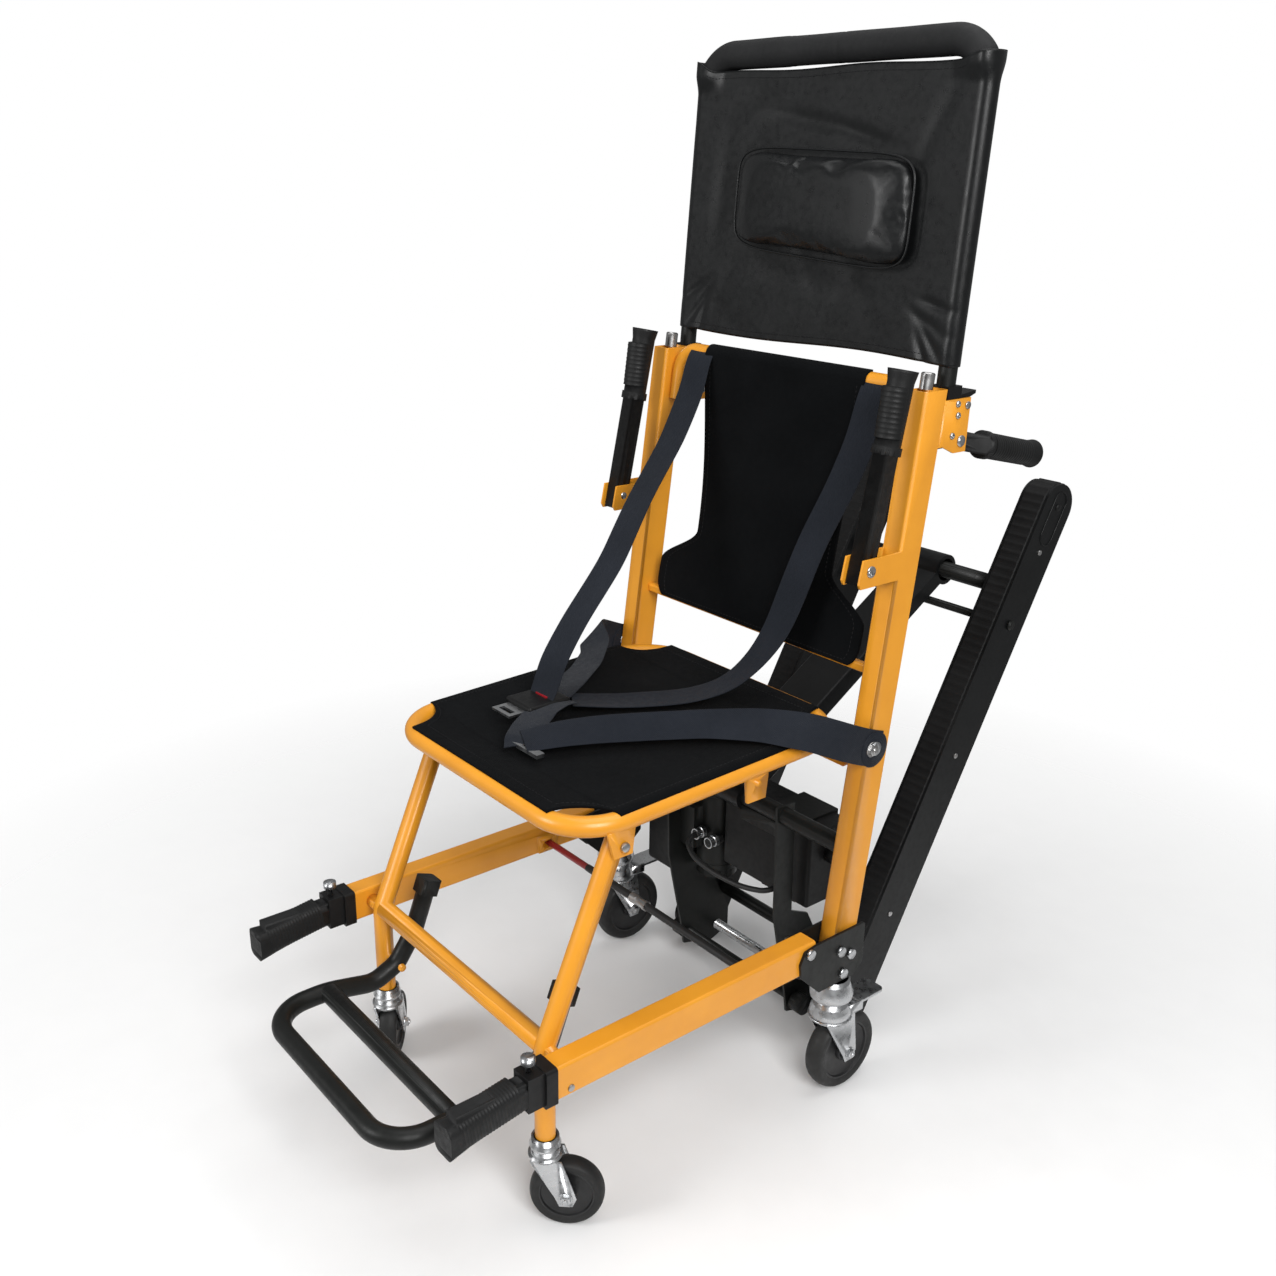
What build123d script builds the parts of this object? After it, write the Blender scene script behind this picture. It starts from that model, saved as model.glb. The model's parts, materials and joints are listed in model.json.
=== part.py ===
from build123d import *
import math
import os

# Folding stair chair with powered tracks. Millimetres, +Z up, the front faces -Y and the
# sitter's left is +X. Places are given from the middle plane, the floor, and the rear
# caster stems; main() moves everything so that the origin is the middle of the footprint.

# ---------------------------------------------------------------- side frame
FRAME_HALF = 235.0          # middle plane to the centre of each rail and upright
SECTION_W = 30.0            # width of rails and uprights, across the chair
WALL = 2.5                  # wall of every welded tube
RAIL_H = 44.0
RAIL_Z = 248.0
RAIL_FRONT_Y = -481.0
RAIL_REAR_Y = -70.0
UPRIGHT_DEPTH = 40.5
UPRIGHT_LEAN = 0.126        # rearward travel for each millimetre of height
UPRIGHT_Y = -5.1            # centre of the upright at UPRIGHT_REF_Z
UPRIGHT_REF_Z = 300.0
UPRIGHT_BOTTOM_Z = 188.0
UPRIGHT_TOP_Z = 963.0
CORNER_R = 4.0              # rounded edges of the box sections
SHEET = 3.0                 # thickness of pressed brackets

# ---------------------------------------------------------------- pivots (Y, Z)
HINGE = (-84.0, 258.0)      # rail to hinge plate
LEG_PIVOT = (-455.0, 250.0) # front leg to rail
SEAT_PIVOT = (15.0, 492.0)  # seat to upright
SEAT_LINK = (LEG_PIVOT[0] + SEAT_PIVOT[0] - HINGE[0], LEG_PIVOT[1] + SEAT_PIVOT[1] - HINGE[1])
PIN_R = 5.0
PIN_FIT = 0.05              # running clearance on a pin, each side
OPEN_PIVOT_FIT = 0.8        # clearance where the fold linkage is left open
GAP = 0.3                   # air between pieces that move past each other

# ---------------------------------------------------------------- hinge plates
PLATE_T = 4.0
PLATE_OUTLINE = ((-100.0, 246.0), (-92.0, 263.0), (-70.0, 266.0), (21.0, 266.0), (21.0, 206.0),
                 (4.0, 191.0), (-62.0, 191.0), (-97.0, 226.0))
PLATE_BOLTS = ((-25.0, 239.0), (-5.0, 228.0), (-18.0, 203.0))
BOLT_R = 4.0
BOLT_HEAD_R = 7.0
BOLT_HEAD_H = 4.0

# ---------------------------------------------------------------- seat
TUBE_R = 12.5
SEAT_HALF = 199.0
SEAT_FRONT_Y = -416.0
SEAT_REAR_Y = 20.0
SEAT_FRONT_Z = 511.5
SEAT_REAR_Z = 526.0
SEAT_FRONT_R = 66.0
SEAT_REAR_R = 78.0
MID_LUG_Y = -145.0          # lug with a screw under each side bar
LUG_T = 5.0
PANEL_T = 4.0
PANEL_LIFT = 0.4
PANEL_EDGE = 7.0            # how far the fabric reaches past the tube centre line
PANEL_CORNER_CUT = 58.0     # cut corners leave the bent tube bare

# ---------------------------------------------------------------- front legs
LEG_X = 190.0
LEG_TOP = (-354.0, 488.0)
LEG_FOOT = (-456.0, 128.0)
LEG_BEND_R = 45.0
CROSSBAR_Z = 253.0
SPACER_R = 9.0

# ---------------------------------------------------------------- footrest
FOOT_R = 12.5
FOOT_ARM_X = 157.0
FOOT_PIVOT = (-456.0, 182.0)
FOOT_ARM = ((-408.0, 274.0), (-428.0, 222.0), (-456.0, 182.0), (-492.0, 166.0), (-560.0, 181.0), (-642.0, 181.0))
FOOT_ARM_R = (60.0, 34.0, 40.0, 160.0)
FOOT_CORNER_R = 52.0
FOOT_BAR_Y = -560.0
FOOT_BAR_Z = 183.0
CAP_SIZE = 27.0
CAP_LEN = 22.0

# ---------------------------------------------------------------- front handles
COLLAR_W = 36.0
COLLAR_H = 49.0
COLLAR_LEN = 16.0
LIP_LEN = 22.0
HANDLE_W = 22.0
HANDLE_H = 34.0
HANDLE_IN_RAIL = 190.0
FRONT_GRIP_END_Y = -619.0
FRONT_GRIP_W = 30.0
FRONT_GRIP_H = 35.0
FRONT_GRIP_FLARE = 5.0
FRONT_GRIP_DROP = 10.0
KNOB_R = 8.5
KNOB_H = 8.0
PLUNGER_R = 3.5
PLUNGER_Y = -509.0
PLUNGER_TRAVEL = 6.0

# ---------------------------------------------------------------- back
LOWER_BAR = (37.0, 610.0)
LOWER_BAR_SIZE = 12.0
UPPER_BAR = (79.0, 962.0)
UPPER_BAR_R = 11.0
UPPER_BAR_BEND_R = 32.0
UPPER_BAR_LEG = 70.0
BACK_PANEL_T = 5.0
BACK_TOP_HALF = 140.0
BACK_WAIST_HALF = 128.0
BACK_BOTTOM_HALF = 200.0
BACK_TOP_Z = 950.0
BACK_WAIST_Z = 800.0
BACK_BOTTOM_Z = 620.0

# ---------------------------------------------------------------- headrest
HEAD_X = 235.0
HEAD_R = 11.5
HEAD_BASE = (111.5, 970.0)
HEAD_TOP = (140.0, 1350.0)
HEAD_BOTTOM_Z = 892.0
HEAD_BEND_R = 52.0
FOAM_R = 18.5
FOAM_END_Z = 1324.0
COVER_BOTTOM_Z = 991.0
COVER_TOP_Z = 1320.0
COVER_HALF = 246.0
COVER_T = 5.0
COVER_SKIN = 0.5
PILLOW_TOP_Z = 1226.0
PILLOW_BOTTOM_Z = 1101.0
PILLOW_TOP_HALF = 142.0
PILLOW_BOTTOM_HALF = 134.0
PILLOW_T = 26.0
GUIDE_H = 15.0

# ---------------------------------------------------------------- armrests
ARM_PIVOT = (-18.0, 758.0)
ARM_W = 23.0
ARM_DEPTH = 24.0
ARM_RING = (10.0, 893.0)
ARM_TOP_Z = 990.0
ARM_TAIL = 20.0
GRIP_R = 16.0
GRIP_FLARE_R = 18.5
RING_R = 18.0
RING_LEN = 10.0

# ---------------------------------------------------------------- rear handles
REAR_PIVOT = (130.0, 898.0)
REAR_RING = (192.0, 884.0)
REAR_TIP = (303.0, 858.5)
REAR_BAR_W = 22.0
REAR_BAR_H = 24.0
LEVER_PIN = (137.0, 941.0)
LEVER_W = 20.0
EYE_INSET = 1.0             # a handle's eye is a little slimmer than its bar
LEVER_PIN_R = 2.5

# ---------------------------------------------------------------- casters
FLOOR_Z = 4.5               # the wheels stand on this height
REAR_STEM_Y = -15.0
REAR_WHEEL_R = 58.0
REAR_WHEEL_W = 28.0
REAR_TRAIL = 25.0
REAR_TOP_Z = 187.7
FRONT_STEM = (190.0, -456.0)
FRONT_WHEEL_R = 45.5
FRONT_WHEEL_W = 24.0
FRONT_TRAIL = 26.0
FRONT_TOP_Z = 127.7
LEFT_FRONT_HEADING = 43.0   # degrees from straight back towards the chair's left
RIGHT_FRONT_HEADING = -50.0
FORK_T = 3.0
FORK_GAP = 2.0
STEM_R = 9.95
STEM_LEN = 30.0
AXLE_R = 5.0
PEDAL_REACH = 92.0
PEDAL_W = 34.0
PEDAL_T = 4.0
PEDAL_PIN_R = 2.5

# ---------------------------------------------------------------- tracks
TRACK_OUTER = 177.0
TRACK_W = 45.0
TRACK_R = 37.0              # belt outside, round the rollers
BELT_T = 6.0
TRACK_PLATE_T = 4.0
TRACK_PLATE_R = 34.5
TRACK_AXLE = (99.0, 52.0)
TRACK_ANGLE = 28.32         # degrees back from upright
TRACK_LENGTH = 791.0        # between roller centres
TRACK_CROSS_AT = 658.0      # upper cross tube, from the axle along the track
TRACK_ROD_AT = 606.0
TRACK_LOWER_AT = 58.0
TRACK_ROD_R = 6.0
DRIVE_AXLE_R = 8.0
ROLLER_FIT = 0.4

# ---------------------------------------------------------------- strut
STRUT_BASE = (2.0, 372.0)
STRUT_W = 80.0
STRUT_DEPTH = 30.0
STRUT_WALL = 3.0
STRUT_HOUSING_LEN = 300.0
STRUT_SLIDER_START = 70.0
STRUT_EYE_R = 20.0
STRUT_EYE_FIT = 5.0         # the upper eye is the open pivot of the strut linkage

# ---------------------------------------------------------------- drive unit
EQUIPMENT_TUBE_R = 12.7
DRIVE_PLATE_X = 112.0
DRIVE_PLATE_OUTLINE = ((-14.0, 388.0), (20.0, 388.0), (26.0, 214.0), (60.0, 198.0), (122.0, 78.0),
                       (122.0, 40.0), (88.0, 28.0), (28.0, 44.0), (22.0, 80.0), (-8.0, 214.0))
TIE_ROD = (41.0, 61.0)
TIE_ROD_R = 7.0
TIE_HALF = 140.0
TIE_CAP_R = 15.0
TIE_CAP_LEN = 20.0
GEARBOX_BOX = ((-182.0, 10.0, 172.0), (-116.0, 104.0, 334.0))
MOTOR_AXIS = (-80.0, 62.0)
MOTOR_R = 31.5
MOTOR_Z = (182.0, 362.0)
BATTERY_BOX = ((-38.0, 34.0, 222.0), (136.0, 116.0, 340.0))
BATTERY_EDGE_R = 5.0
SOCKET_R = 12.0
SOCKET_BORE_R = 8.0
SOCKET_DEPTH = 12.0
SOCKET_AT = (75.0, 298.0)
CABLE_R = 4.0
PLUG_R = 7.0
CABLE_ROUTE = ((-72.0, 8.0, 262.0), (-70.0, -10.0, 255.0), (-42.0, -20.0, 244.0), (2.0, -17.0, 236.0),
               (48.0, -8.0, 233.0), (84.0, 6.0, 237.0), (95.0, 31.0, 247.0))

# ---------------------------------------------------------------- release rod
RELEASE_ROD = (-160.0, 243.0)
RELEASE_R = 5.0
RELEASE_TRAVEL = 8.0

# ---------------------------------------------------------------- harness
WEB_W = 48.0
WEB_T = 1.6
BELT_ANCHOR = (12.0, 521.0)


# ================================================================ helpers
def side_plate(outline, x_low, x_high):
    """A flat outline in the YZ plane, extruded from x_low to x_high."""
    face = make_face(Polyline(*outline, close=True))
    return extrude(Plane.YZ.offset(x_low) * face, amount=x_high - x_low)


def rod(start, end, radius):
    """A round bar between two points."""
    a = Vector(*start)
    b = Vector(*end)
    return Solid.make_cylinder(radius, (b - a).length, Plane(origin=a, z_dir=b - a))


def cross_rod(point, radius, x_low, x_high):
    """A round bar along X at a (Y, Z) point."""
    return rod((x_low, point[0], point[1]), (x_high, point[0], point[1]), radius)


def bent_tube(points, radii, radius, wall=WALL, close=False):
    """A round tube along a filleted route, hollow unless wall is 0."""
    route = FilletPolyline(*points, radius=radii, close=close)
    section = Circle(radius)
    if wall:
        section = section - Circle(radius - wall)
    return sweep(Plane(origin=route @ 0, z_dir=route % 0) * section, path=route)


def block(low, high):
    """A box between two corners."""
    size = [h - l for l, h in zip(low, high)]
    centre = [(h + l) / 2 for l, h in zip(low, high)]
    return Pos(*centre) * Box(*size)


def group(*shapes):
    """Several separate solids kept in one node."""
    solids = [solid for shape in shapes for solid in shape.solids()]
    return Compound(children=solids)


def fused(*shapes):
    """Pieces that are welded or moulded as one."""
    body = shapes[0]
    for shape in shapes[1:]:
        body = body + shape
    return body


def flipped(shape):
    """The same piece on the other side of the middle plane."""
    return mirror(shape, about=Plane.YZ)


def sided(shape, side):
    """A piece made for the chair's left, or its mirror image on the right."""
    return shape if side > 0 else flipped(shape)


def upright_y(z):
    """Centre of the leaning upright at a height."""
    return UPRIGHT_Y + UPRIGHT_LEAN * (z - UPRIGHT_REF_Z)


def lean_plane(start, end, x=0.0):
    """A plane whose Z runs from start to end, both (Y, Z), and whose X stays along the chair's X."""
    direction = Vector(0, end[0] - start[0], end[1] - start[1])
    return Plane(origin=(x, start[0], start[1]), x_dir=(1, 0, 0), z_dir=direction)


def distance(a, b):
    """Length between two (Y, Z) points."""
    return math.hypot(b[0] - a[0], b[1] - a[1])


# ================================================================ side frame
def upright(side):
    """Leaning box tube with its welded armrest and rear handle brackets."""
    half_depth = UPRIGHT_DEPTH / 2
    low, high = UPRIGHT_BOTTOM_Z, UPRIGHT_TOP_Z

    def profile(inset):
        y0, y1 = upright_y(low), upright_y(high)
        d = half_depth - inset
        return ((y0 - d, low), (y0 + d, low), (y1 + d, high), (y1 - d, high))

    x0 = FRAME_HALF - SECTION_W / 2
    x1 = FRAME_HALF + SECTION_W / 2
    shell = side_plate(profile(0), x0, x1)
    long_edges = shell.edges().filter_by(lambda e: e.length > high - low - 1)
    shell = fillet(long_edges, CORNER_R)
    hollow = side_plate(profile(WALL), x0 + WALL, x1 - WALL)
    foot = block((x0 + WALL / 2, upright_y(low) - half_depth + WALL, low),
                 (x1 - WALL / 2, upright_y(low) + half_depth - WALL, low + STEM_LEN + WALL))
    shell = shell - (hollow - foot)
    stem_bore = rod((FRAME_HALF, REAR_STEM_Y, low - 1), (FRAME_HALF, REAR_STEM_Y, low + STEM_LEN + 1),
                    STEM_R + PIN_FIT)
    seat_bore = cross_rod(SEAT_PIVOT, PIN_R + PIN_FIT, x0 - 1, x0 + 2 * WALL)
    body = shell - stem_bore - seat_bore
    return sided(fused(body, arm_bracket(x0, x1), rear_bracket(x0, x1)), side)


def arm_bracket(x0, x1):
    """Two cheeks in front of the upright that carry the armrest pin."""
    y_root = upright_y(ARM_PIVOT[1]) - UPRIGHT_DEPTH / 2 + WALL
    outline = ((y_root, 738.0), (-34.0, 738.0), (-37.0, 744.0), (-31.0, 773.0), (y_root + 4, 773.0))
    cheek = side_plate(outline, x0, x0 + SHEET) + side_plate(outline, x1 - SHEET, x1)
    return cheek - cross_rod(ARM_PIVOT, PIN_R, x0 - 1, x1 + 1)


def rear_bracket(x0, x1):
    """Two cheeks behind the top of the upright for the handle, its lever and the headrest guide."""
    y_root = upright_y(900.0) + UPRIGHT_DEPTH / 2 - WALL
    outline = ((y_root + 6, 950.0), (143.0, 950.0), (141.0, 884.0), (118.0, 884.0), (96.0, 894.0), (y_root, 894.0))
    cheek = side_plate(outline, x0, x0 + SHEET) + side_plate(outline, x1 - SHEET, x1)
    cheek = cheek - cross_rod(REAR_PIVOT, PIN_R, x0 - 1, x1 + 1)
    return cheek - cross_rod(LEVER_PIN, LEVER_PIN_R, x0 - 1, x1 + 1)


def rail(side):
    """Hollow side rail, with its hinge and leg bores and the slotted lug of the release rod."""
    length = RAIL_REAR_Y - RAIL_FRONT_Y
    section = RectangleRounded(SECTION_W, RAIL_H, CORNER_R)
    section = section - RectangleRounded(SECTION_W - 2 * WALL, RAIL_H - 2 * WALL, CORNER_R - WALL)
    start = Plane(origin=(FRAME_HALF, RAIL_FRONT_Y, RAIL_Z), x_dir=(1, 0, 0), z_dir=(0, 1, 0))
    body = extrude(start * section, amount=length)
    x0 = FRAME_HALF - SECTION_W / 2
    x1 = FRAME_HALF + SECTION_W / 2
    lug_t = 8.0
    y, z = RELEASE_ROD
    lug = block((x0 - lug_t, y - 20.0, z - 12.0), (x0 + WALL / 2, y + 14.0, z + 12.0))
    slot_r = RELEASE_R + GAP
    slot = fused(cross_rod((y, z), slot_r, x0 - lug_t - 1, x0),
                 cross_rod((y - RELEASE_TRAVEL, z), slot_r, x0 - lug_t - 1, x0),
                 block((x0 - lug_t - 1, y - RELEASE_TRAVEL, z - slot_r), (x0, y, z + slot_r)))
    body = body + (lug - slot)
    body = body - cross_rod(HINGE, PIN_R + PIN_FIT, x0 - 1, x1 + 1)
    body = body - cross_rod(LEG_PIVOT, PIN_R + PIN_FIT, x0 - 1, x0 + 2 * WALL)
    return sided(body, side)


def rail_collar(side):
    """Moulded collar on the front end of a rail, with the lip that carries the thumb plunger."""
    opening_w = HANDLE_W + 2 * GAP
    opening_h = HANDLE_H + 2 * GAP
    front = RAIL_FRONT_Y - COLLAR_LEN
    ring = block((FRAME_HALF - COLLAR_W / 2, front, RAIL_Z - COLLAR_H / 2),
                 (FRAME_HALF + COLLAR_W / 2, RAIL_FRONT_Y - GAP, RAIL_Z + COLLAR_H / 2))
    ring = fillet(ring.edges().filter_by(Axis.Y), CORNER_R)
    lip = block((FRAME_HALF - opening_w / 2 - SHEET, front - LIP_LEN, RAIL_Z - opening_h / 2 - SHEET),
                (FRAME_HALF + opening_w / 2 + SHEET, front, RAIL_Z + opening_h / 2 + 2 * SHEET))
    hole = block((FRAME_HALF - opening_w / 2, front - LIP_LEN - 1, RAIL_Z - opening_h / 2),
                 (FRAME_HALF + opening_w / 2, RAIL_FRONT_Y, RAIL_Z + opening_h / 2))
    bore = rod((FRAME_HALF, PLUNGER_Y, RAIL_Z), (FRAME_HALF, PLUNGER_Y, RAIL_Z + COLLAR_H), PLUNGER_R + PIN_FIT)
    return sided((ring + lip) - hole - bore, side)


def hinge_plates():
    """Four plates, two on each side, that join the uprights to the rails."""
    plates = []
    for side in (1, -1):
        for x in (FRAME_HALF + SECTION_W / 2, FRAME_HALF - SECTION_W / 2 - PLATE_T - GAP):
            plate = side_plate(PLATE_OUTLINE, x + GAP / 2, x + GAP / 2 + PLATE_T)
            plate = fillet(plate.edges().filter_by(Axis.X), CORNER_R)
            plate = plate - cross_rod(HINGE, PIN_R, x - 1, x + PLATE_T + 1)
            plates.append(sided(plate, side))
    return group(*plates)


def frame_bolts():
    """Pins and bolts of the hinge plates, brackets and belt anchors."""
    bolts = []
    outer = FRAME_HALF + SECTION_W / 2
    inner = FRAME_HALF - SECTION_W / 2
    plate_out = outer + PLATE_T + GAP / 2
    plate_in = inner - PLATE_T - GAP / 2
    for side in (1, -1):
        pin = cross_rod(HINGE, PIN_R, plate_in - BOLT_HEAD_H, plate_out)
        head = cross_rod(HINGE, BOLT_HEAD_R, plate_out, plate_out + BOLT_HEAD_H)
        bolts.append(sided(pin + head, side))
        for point in PLATE_BOLTS:
            bolts.append(sided(cross_rod(point, BOLT_HEAD_R, plate_out, plate_out + BOLT_HEAD_H), side))
            bolts.append(sided(cross_rod(point, BOLT_HEAD_R, plate_in - BOLT_HEAD_H, plate_in), side))
        for point, radius in ((ARM_PIVOT, PIN_R), (REAR_PIVOT, PIN_R), (LEVER_PIN, LEVER_PIN_R)):
            pin = cross_rod(point, radius, inner, outer)
            head = cross_rod(point, radius + 2, outer, outer + BOLT_HEAD_H / 2)
            bolts.append(sided(pin + head, side))
        anchor = cross_rod(BELT_ANCHOR, BOLT_HEAD_R + 2, outer, outer + BOLT_HEAD_H + 2)
        bolts.append(sided(anchor, side))
    return group(*bolts)


# ================================================================ back
def lower_back_bar():
    """Square bar between the uprights at the foot of the back panel."""
    inner = FRAME_HALF - SECTION_W / 2
    y, z = LOWER_BAR
    half = LOWER_BAR_SIZE / 2
    bar = block((-inner, y - half, z - half), (inner, y + half, z + half))
    return fillet(bar.edges().filter_by(Axis.X), half / 2)


def upper_back_bar():
    """Round bar across the top, with its ends turned down along the uprights."""
    inner = FRAME_HALF - SECTION_W / 2
    x = inner - UPPER_BAR_R
    y, z = UPPER_BAR
    drop = UPPER_BAR_LEG * UPRIGHT_LEAN
    points = [(-x, y - drop, z - UPPER_BAR_LEG), (-x, y, z), (x, y, z), (x, y - drop, z - UPPER_BAR_LEG)]
    return bent_tube(points, UPPER_BAR_BEND_R, UPPER_BAR_R)


def back_panel():
    """Fabric sling of the back, waisted between its wide foot and its top."""
    top = (UPPER_BAR[0], BACK_TOP_Z)
    foot = (LOWER_BAR[0], BACK_BOTTOM_Z)
    plane = Plane(origin=(0, foot[0], foot[1]), x_dir=(1, 0, 0),
                  z_dir=Vector(0, -(top[1] - foot[1]), top[0] - foot[0]))
    height = distance(foot, top)
    waist = height * (BACK_WAIST_Z - BACK_BOTTOM_Z) / (BACK_TOP_Z - BACK_BOTTOM_Z)
    right = Spline((BACK_BOTTOM_HALF, 0), (BACK_WAIST_HALF, waist), (BACK_TOP_HALF, height))
    left = Spline((-BACK_TOP_HALF, height), (-BACK_WAIST_HALF, waist), (-BACK_BOTTOM_HALF, 0))
    outline = [right, Line(right @ 1, left @ 0), left, Line(left @ 1, right @ 0)]
    return extrude(plane * make_face(outline), amount=BACK_PANEL_T / 2, both=True)


# ================================================================ seat
def seat_point(y, lift=0.0):
    """Height of the seat tube centre line at a Y, lifted by a distance."""
    share = (y - SEAT_FRONT_Y) / (SEAT_REAR_Y - SEAT_FRONT_Y)
    return SEAT_FRONT_Z + share * (SEAT_REAR_Z - SEAT_FRONT_Z) + lift


def seat_frame():
    """Closed tube loop with its two link lugs in front and its two pivot lugs behind."""
    points = [(0, SEAT_FRONT_Y, SEAT_FRONT_Z), (SEAT_HALF, SEAT_FRONT_Y, SEAT_FRONT_Z),
              (SEAT_HALF, SEAT_REAR_Y, SEAT_REAR_Z), (0, SEAT_REAR_Y, SEAT_REAR_Z)]
    half = bent_tube(points, [SEAT_FRONT_R, SEAT_REAR_R], TUBE_R)
    body = half + flipped(half)
    for side in (1, -1):
        body = body + sided(link_lug(), side) + sided(pivot_lug(), side) + sided(middle_lug(), side)
    return body


def link_lug():
    """Lug under the front corner that the leg's pin passes through, with play."""
    y, z = SEAT_LINK
    x0 = LEG_X + TUBE_R + GAP
    top = seat_point(y) - TUBE_R / 2
    plate = side_plate(((y - 13, z - 11), (y + 13, z - 11), (y + 17, top), (y - 22, top)), x0, x0 + LUG_T)
    hole = cross_rod(SEAT_LINK, PIN_R + OPEN_PIVOT_FIT, x0 - 1, x0 + LUG_T + 1)
    return plate - hole


def pivot_lug():
    """Lug below the rear of a side bar with the pin that turns in the upright."""
    y, z = SEAT_PIVOT
    inner = FRAME_HALF - SECTION_W / 2
    x0 = SEAT_HALF + TUBE_R / 2
    y_top = -34.0
    top = seat_point(y_top) - TUBE_R / 2
    plate = side_plate(((y - 11, z - 10), (y + 11, z - 10), (y + 11, z + 9), (y_top + 26, top), (y_top - 20, top)),
                       x0, x0 + LUG_T)
    pin = cross_rod(SEAT_PIVOT, PIN_R, x0, inner + 2 * WALL)
    shoulder = cross_rod(SEAT_PIVOT, SPACER_R, x0, inner - GAP)
    return plate + pin + shoulder


def middle_lug():
    """Lug with a screw under the middle of a side bar."""
    y, x = MID_LUG_Y, SEAT_HALF
    top = seat_point(y) - TUBE_R / 2
    plate = side_plate(((y - 14, top - 38), (y + 16, top - 38), (y + 20, top), (y - 18, top)), x, x + LUG_T)
    screw = cross_rod((y, top - 14), BOLT_R, x, x + LUG_T + BOLT_HEAD_H)
    return plate + screw


def seat_panel():
    """Fabric seat with cut corners, laid over the tube loop."""
    lift = TUBE_R + PANEL_LIFT
    slope = math.atan2(SEAT_REAR_Z - SEAT_FRONT_Z, SEAT_REAR_Y - SEAT_FRONT_Y)
    plane = Plane(origin=(0, SEAT_FRONT_Y, SEAT_FRONT_Z), x_dir=(1, 0, 0),
                  z_dir=(0, -math.sin(slope), math.cos(slope))).offset(lift)
    length = math.hypot(SEAT_REAR_Z - SEAT_FRONT_Z, SEAT_REAR_Y - SEAT_FRONT_Y)
    front = -PANEL_EDGE
    rear = length + PANEL_EDGE
    wide = SEAT_HALF + PANEL_EDGE
    cut = PANEL_CORNER_CUT
    right = [(wide - cut, front), (wide, front + cut), (wide, rear - cut), (wide - cut, rear)]
    left = [(-x, y) for x, y in reversed(right)]
    return extrude(plane * make_face(Polyline(*right, *left, close=True)), amount=PANEL_T)


# ================================================================ front legs and footrest
def front_leg_frame():
    """Two bent legs joined by a cross bar, with the rail pins and the seat link pins."""
    points = [(LEG_X, LEG_TOP[0], LEG_TOP[1]), (LEG_X, LEG_PIVOT[0] - 1, LEG_PIVOT[1]),
              (LEG_X, LEG_FOOT[0], LEG_FOOT[1])]
    leg = bent_tube(points, LEG_BEND_R, TUBE_R)
    inner = FRAME_HALF - SECTION_W / 2
    pin = cross_rod(LEG_PIVOT, PIN_R, LEG_X, inner + WALL + 1)
    spacer = cross_rod(LEG_PIVOT, SPACER_R, LEG_X + TUBE_R - WALL, inner - GAP)
    link = cross_rod(SEAT_LINK, PIN_R, LEG_X, LEG_X + TUBE_R + 2 * LUG_T)
    foot_pin = cross_rod(FOOT_PIVOT, PIN_R, FOOT_ARM_X - FOOT_R - BOLT_HEAD_H, LEG_X)
    left = fused(leg, pin, spacer, link, foot_pin)
    crossbar = cross_rod((LEG_PIVOT[0], CROSSBAR_Z), TUBE_R, -LEG_X + TUBE_R / 2, LEG_X - TUBE_R / 2)
    hollow = cross_rod((LEG_PIVOT[0], CROSSBAR_Z), TUBE_R - WALL, -LEG_X + TUBE_R, LEG_X - TUBE_R)
    return fused(left, flipped(left), crossbar - hollow)


def footrest():
    """Bent tube frame with a second bar, and square plugs in the ends of its arms."""
    arm = [(FOOT_ARM_X, y, z) for y, z in FOOT_ARM]
    points = arm + [(-x, y, z) for x, y, z in reversed(arm)]
    radii = list(FOOT_ARM_R) + [FOOT_CORNER_R, FOOT_CORNER_R] + list(reversed(FOOT_ARM_R))
    frame = bent_tube(points, radii, FOOT_R)
    bar = cross_rod((FOOT_BAR_Y, FOOT_BAR_Z), FOOT_R, -FOOT_ARM_X + FOOT_R / 2, FOOT_ARM_X - FOOT_R / 2)
    caps = []
    for side in (1, -1):
        plane = lean_plane(FOOT_ARM[1], FOOT_ARM[0], FOOT_ARM_X * side)
        reach = distance(FOOT_ARM[0], FOOT_ARM[1])
        cap = extrude(plane.offset(reach) * RectangleRounded(CAP_SIZE, CAP_SIZE, CORNER_R), amount=CAP_LEN)
        caps.append(cap)
    body = fused(frame, bar, *caps)
    for side in (1, -1):
        low = side * (FOOT_ARM_X - FOOT_R - 1)
        high = side * (FOOT_ARM_X + FOOT_R + 1)
        body = body - cross_rod(FOOT_PIVOT, PIN_R + PIN_FIT, min(low, high), max(low, high))
    return body


# ================================================================ handles
def front_handle(side):
    """Sliding bar inside a rail with its moulded grip."""
    start = Plane(origin=(FRAME_HALF, FRONT_GRIP_END_Y + 12, RAIL_Z), x_dir=(1, 0, 0), z_dir=(0, 1, 0))
    reach = RAIL_FRONT_Y + HANDLE_IN_RAIL - FRONT_GRIP_END_Y - 12
    bar = extrude(start * RectangleRounded(HANDLE_W, HANDLE_H, SHEET), amount=reach)
    grip_front = RAIL_FRONT_Y - COLLAR_LEN - LIP_LEN - GAP
    sections = []
    for y, grow, drop in ((grip_front, -1.0, 0.0), (grip_front - 30, 0.0, 2.0),
                          (FRONT_GRIP_END_Y + 26, 0.0, FRONT_GRIP_DROP),
                          (FRONT_GRIP_END_Y, FRONT_GRIP_FLARE, FRONT_GRIP_DROP + 2)):
        plane = Plane(origin=(FRAME_HALF, y, RAIL_Z - drop), x_dir=(1, 0, 0), z_dir=(0, -1, 0))
        sections.append(plane * RectangleRounded(FRONT_GRIP_W + grow, FRONT_GRIP_H + grow, 9.0))
    grip = loft(sections, ruled=True)
    return sided(bar + grip, side)


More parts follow.
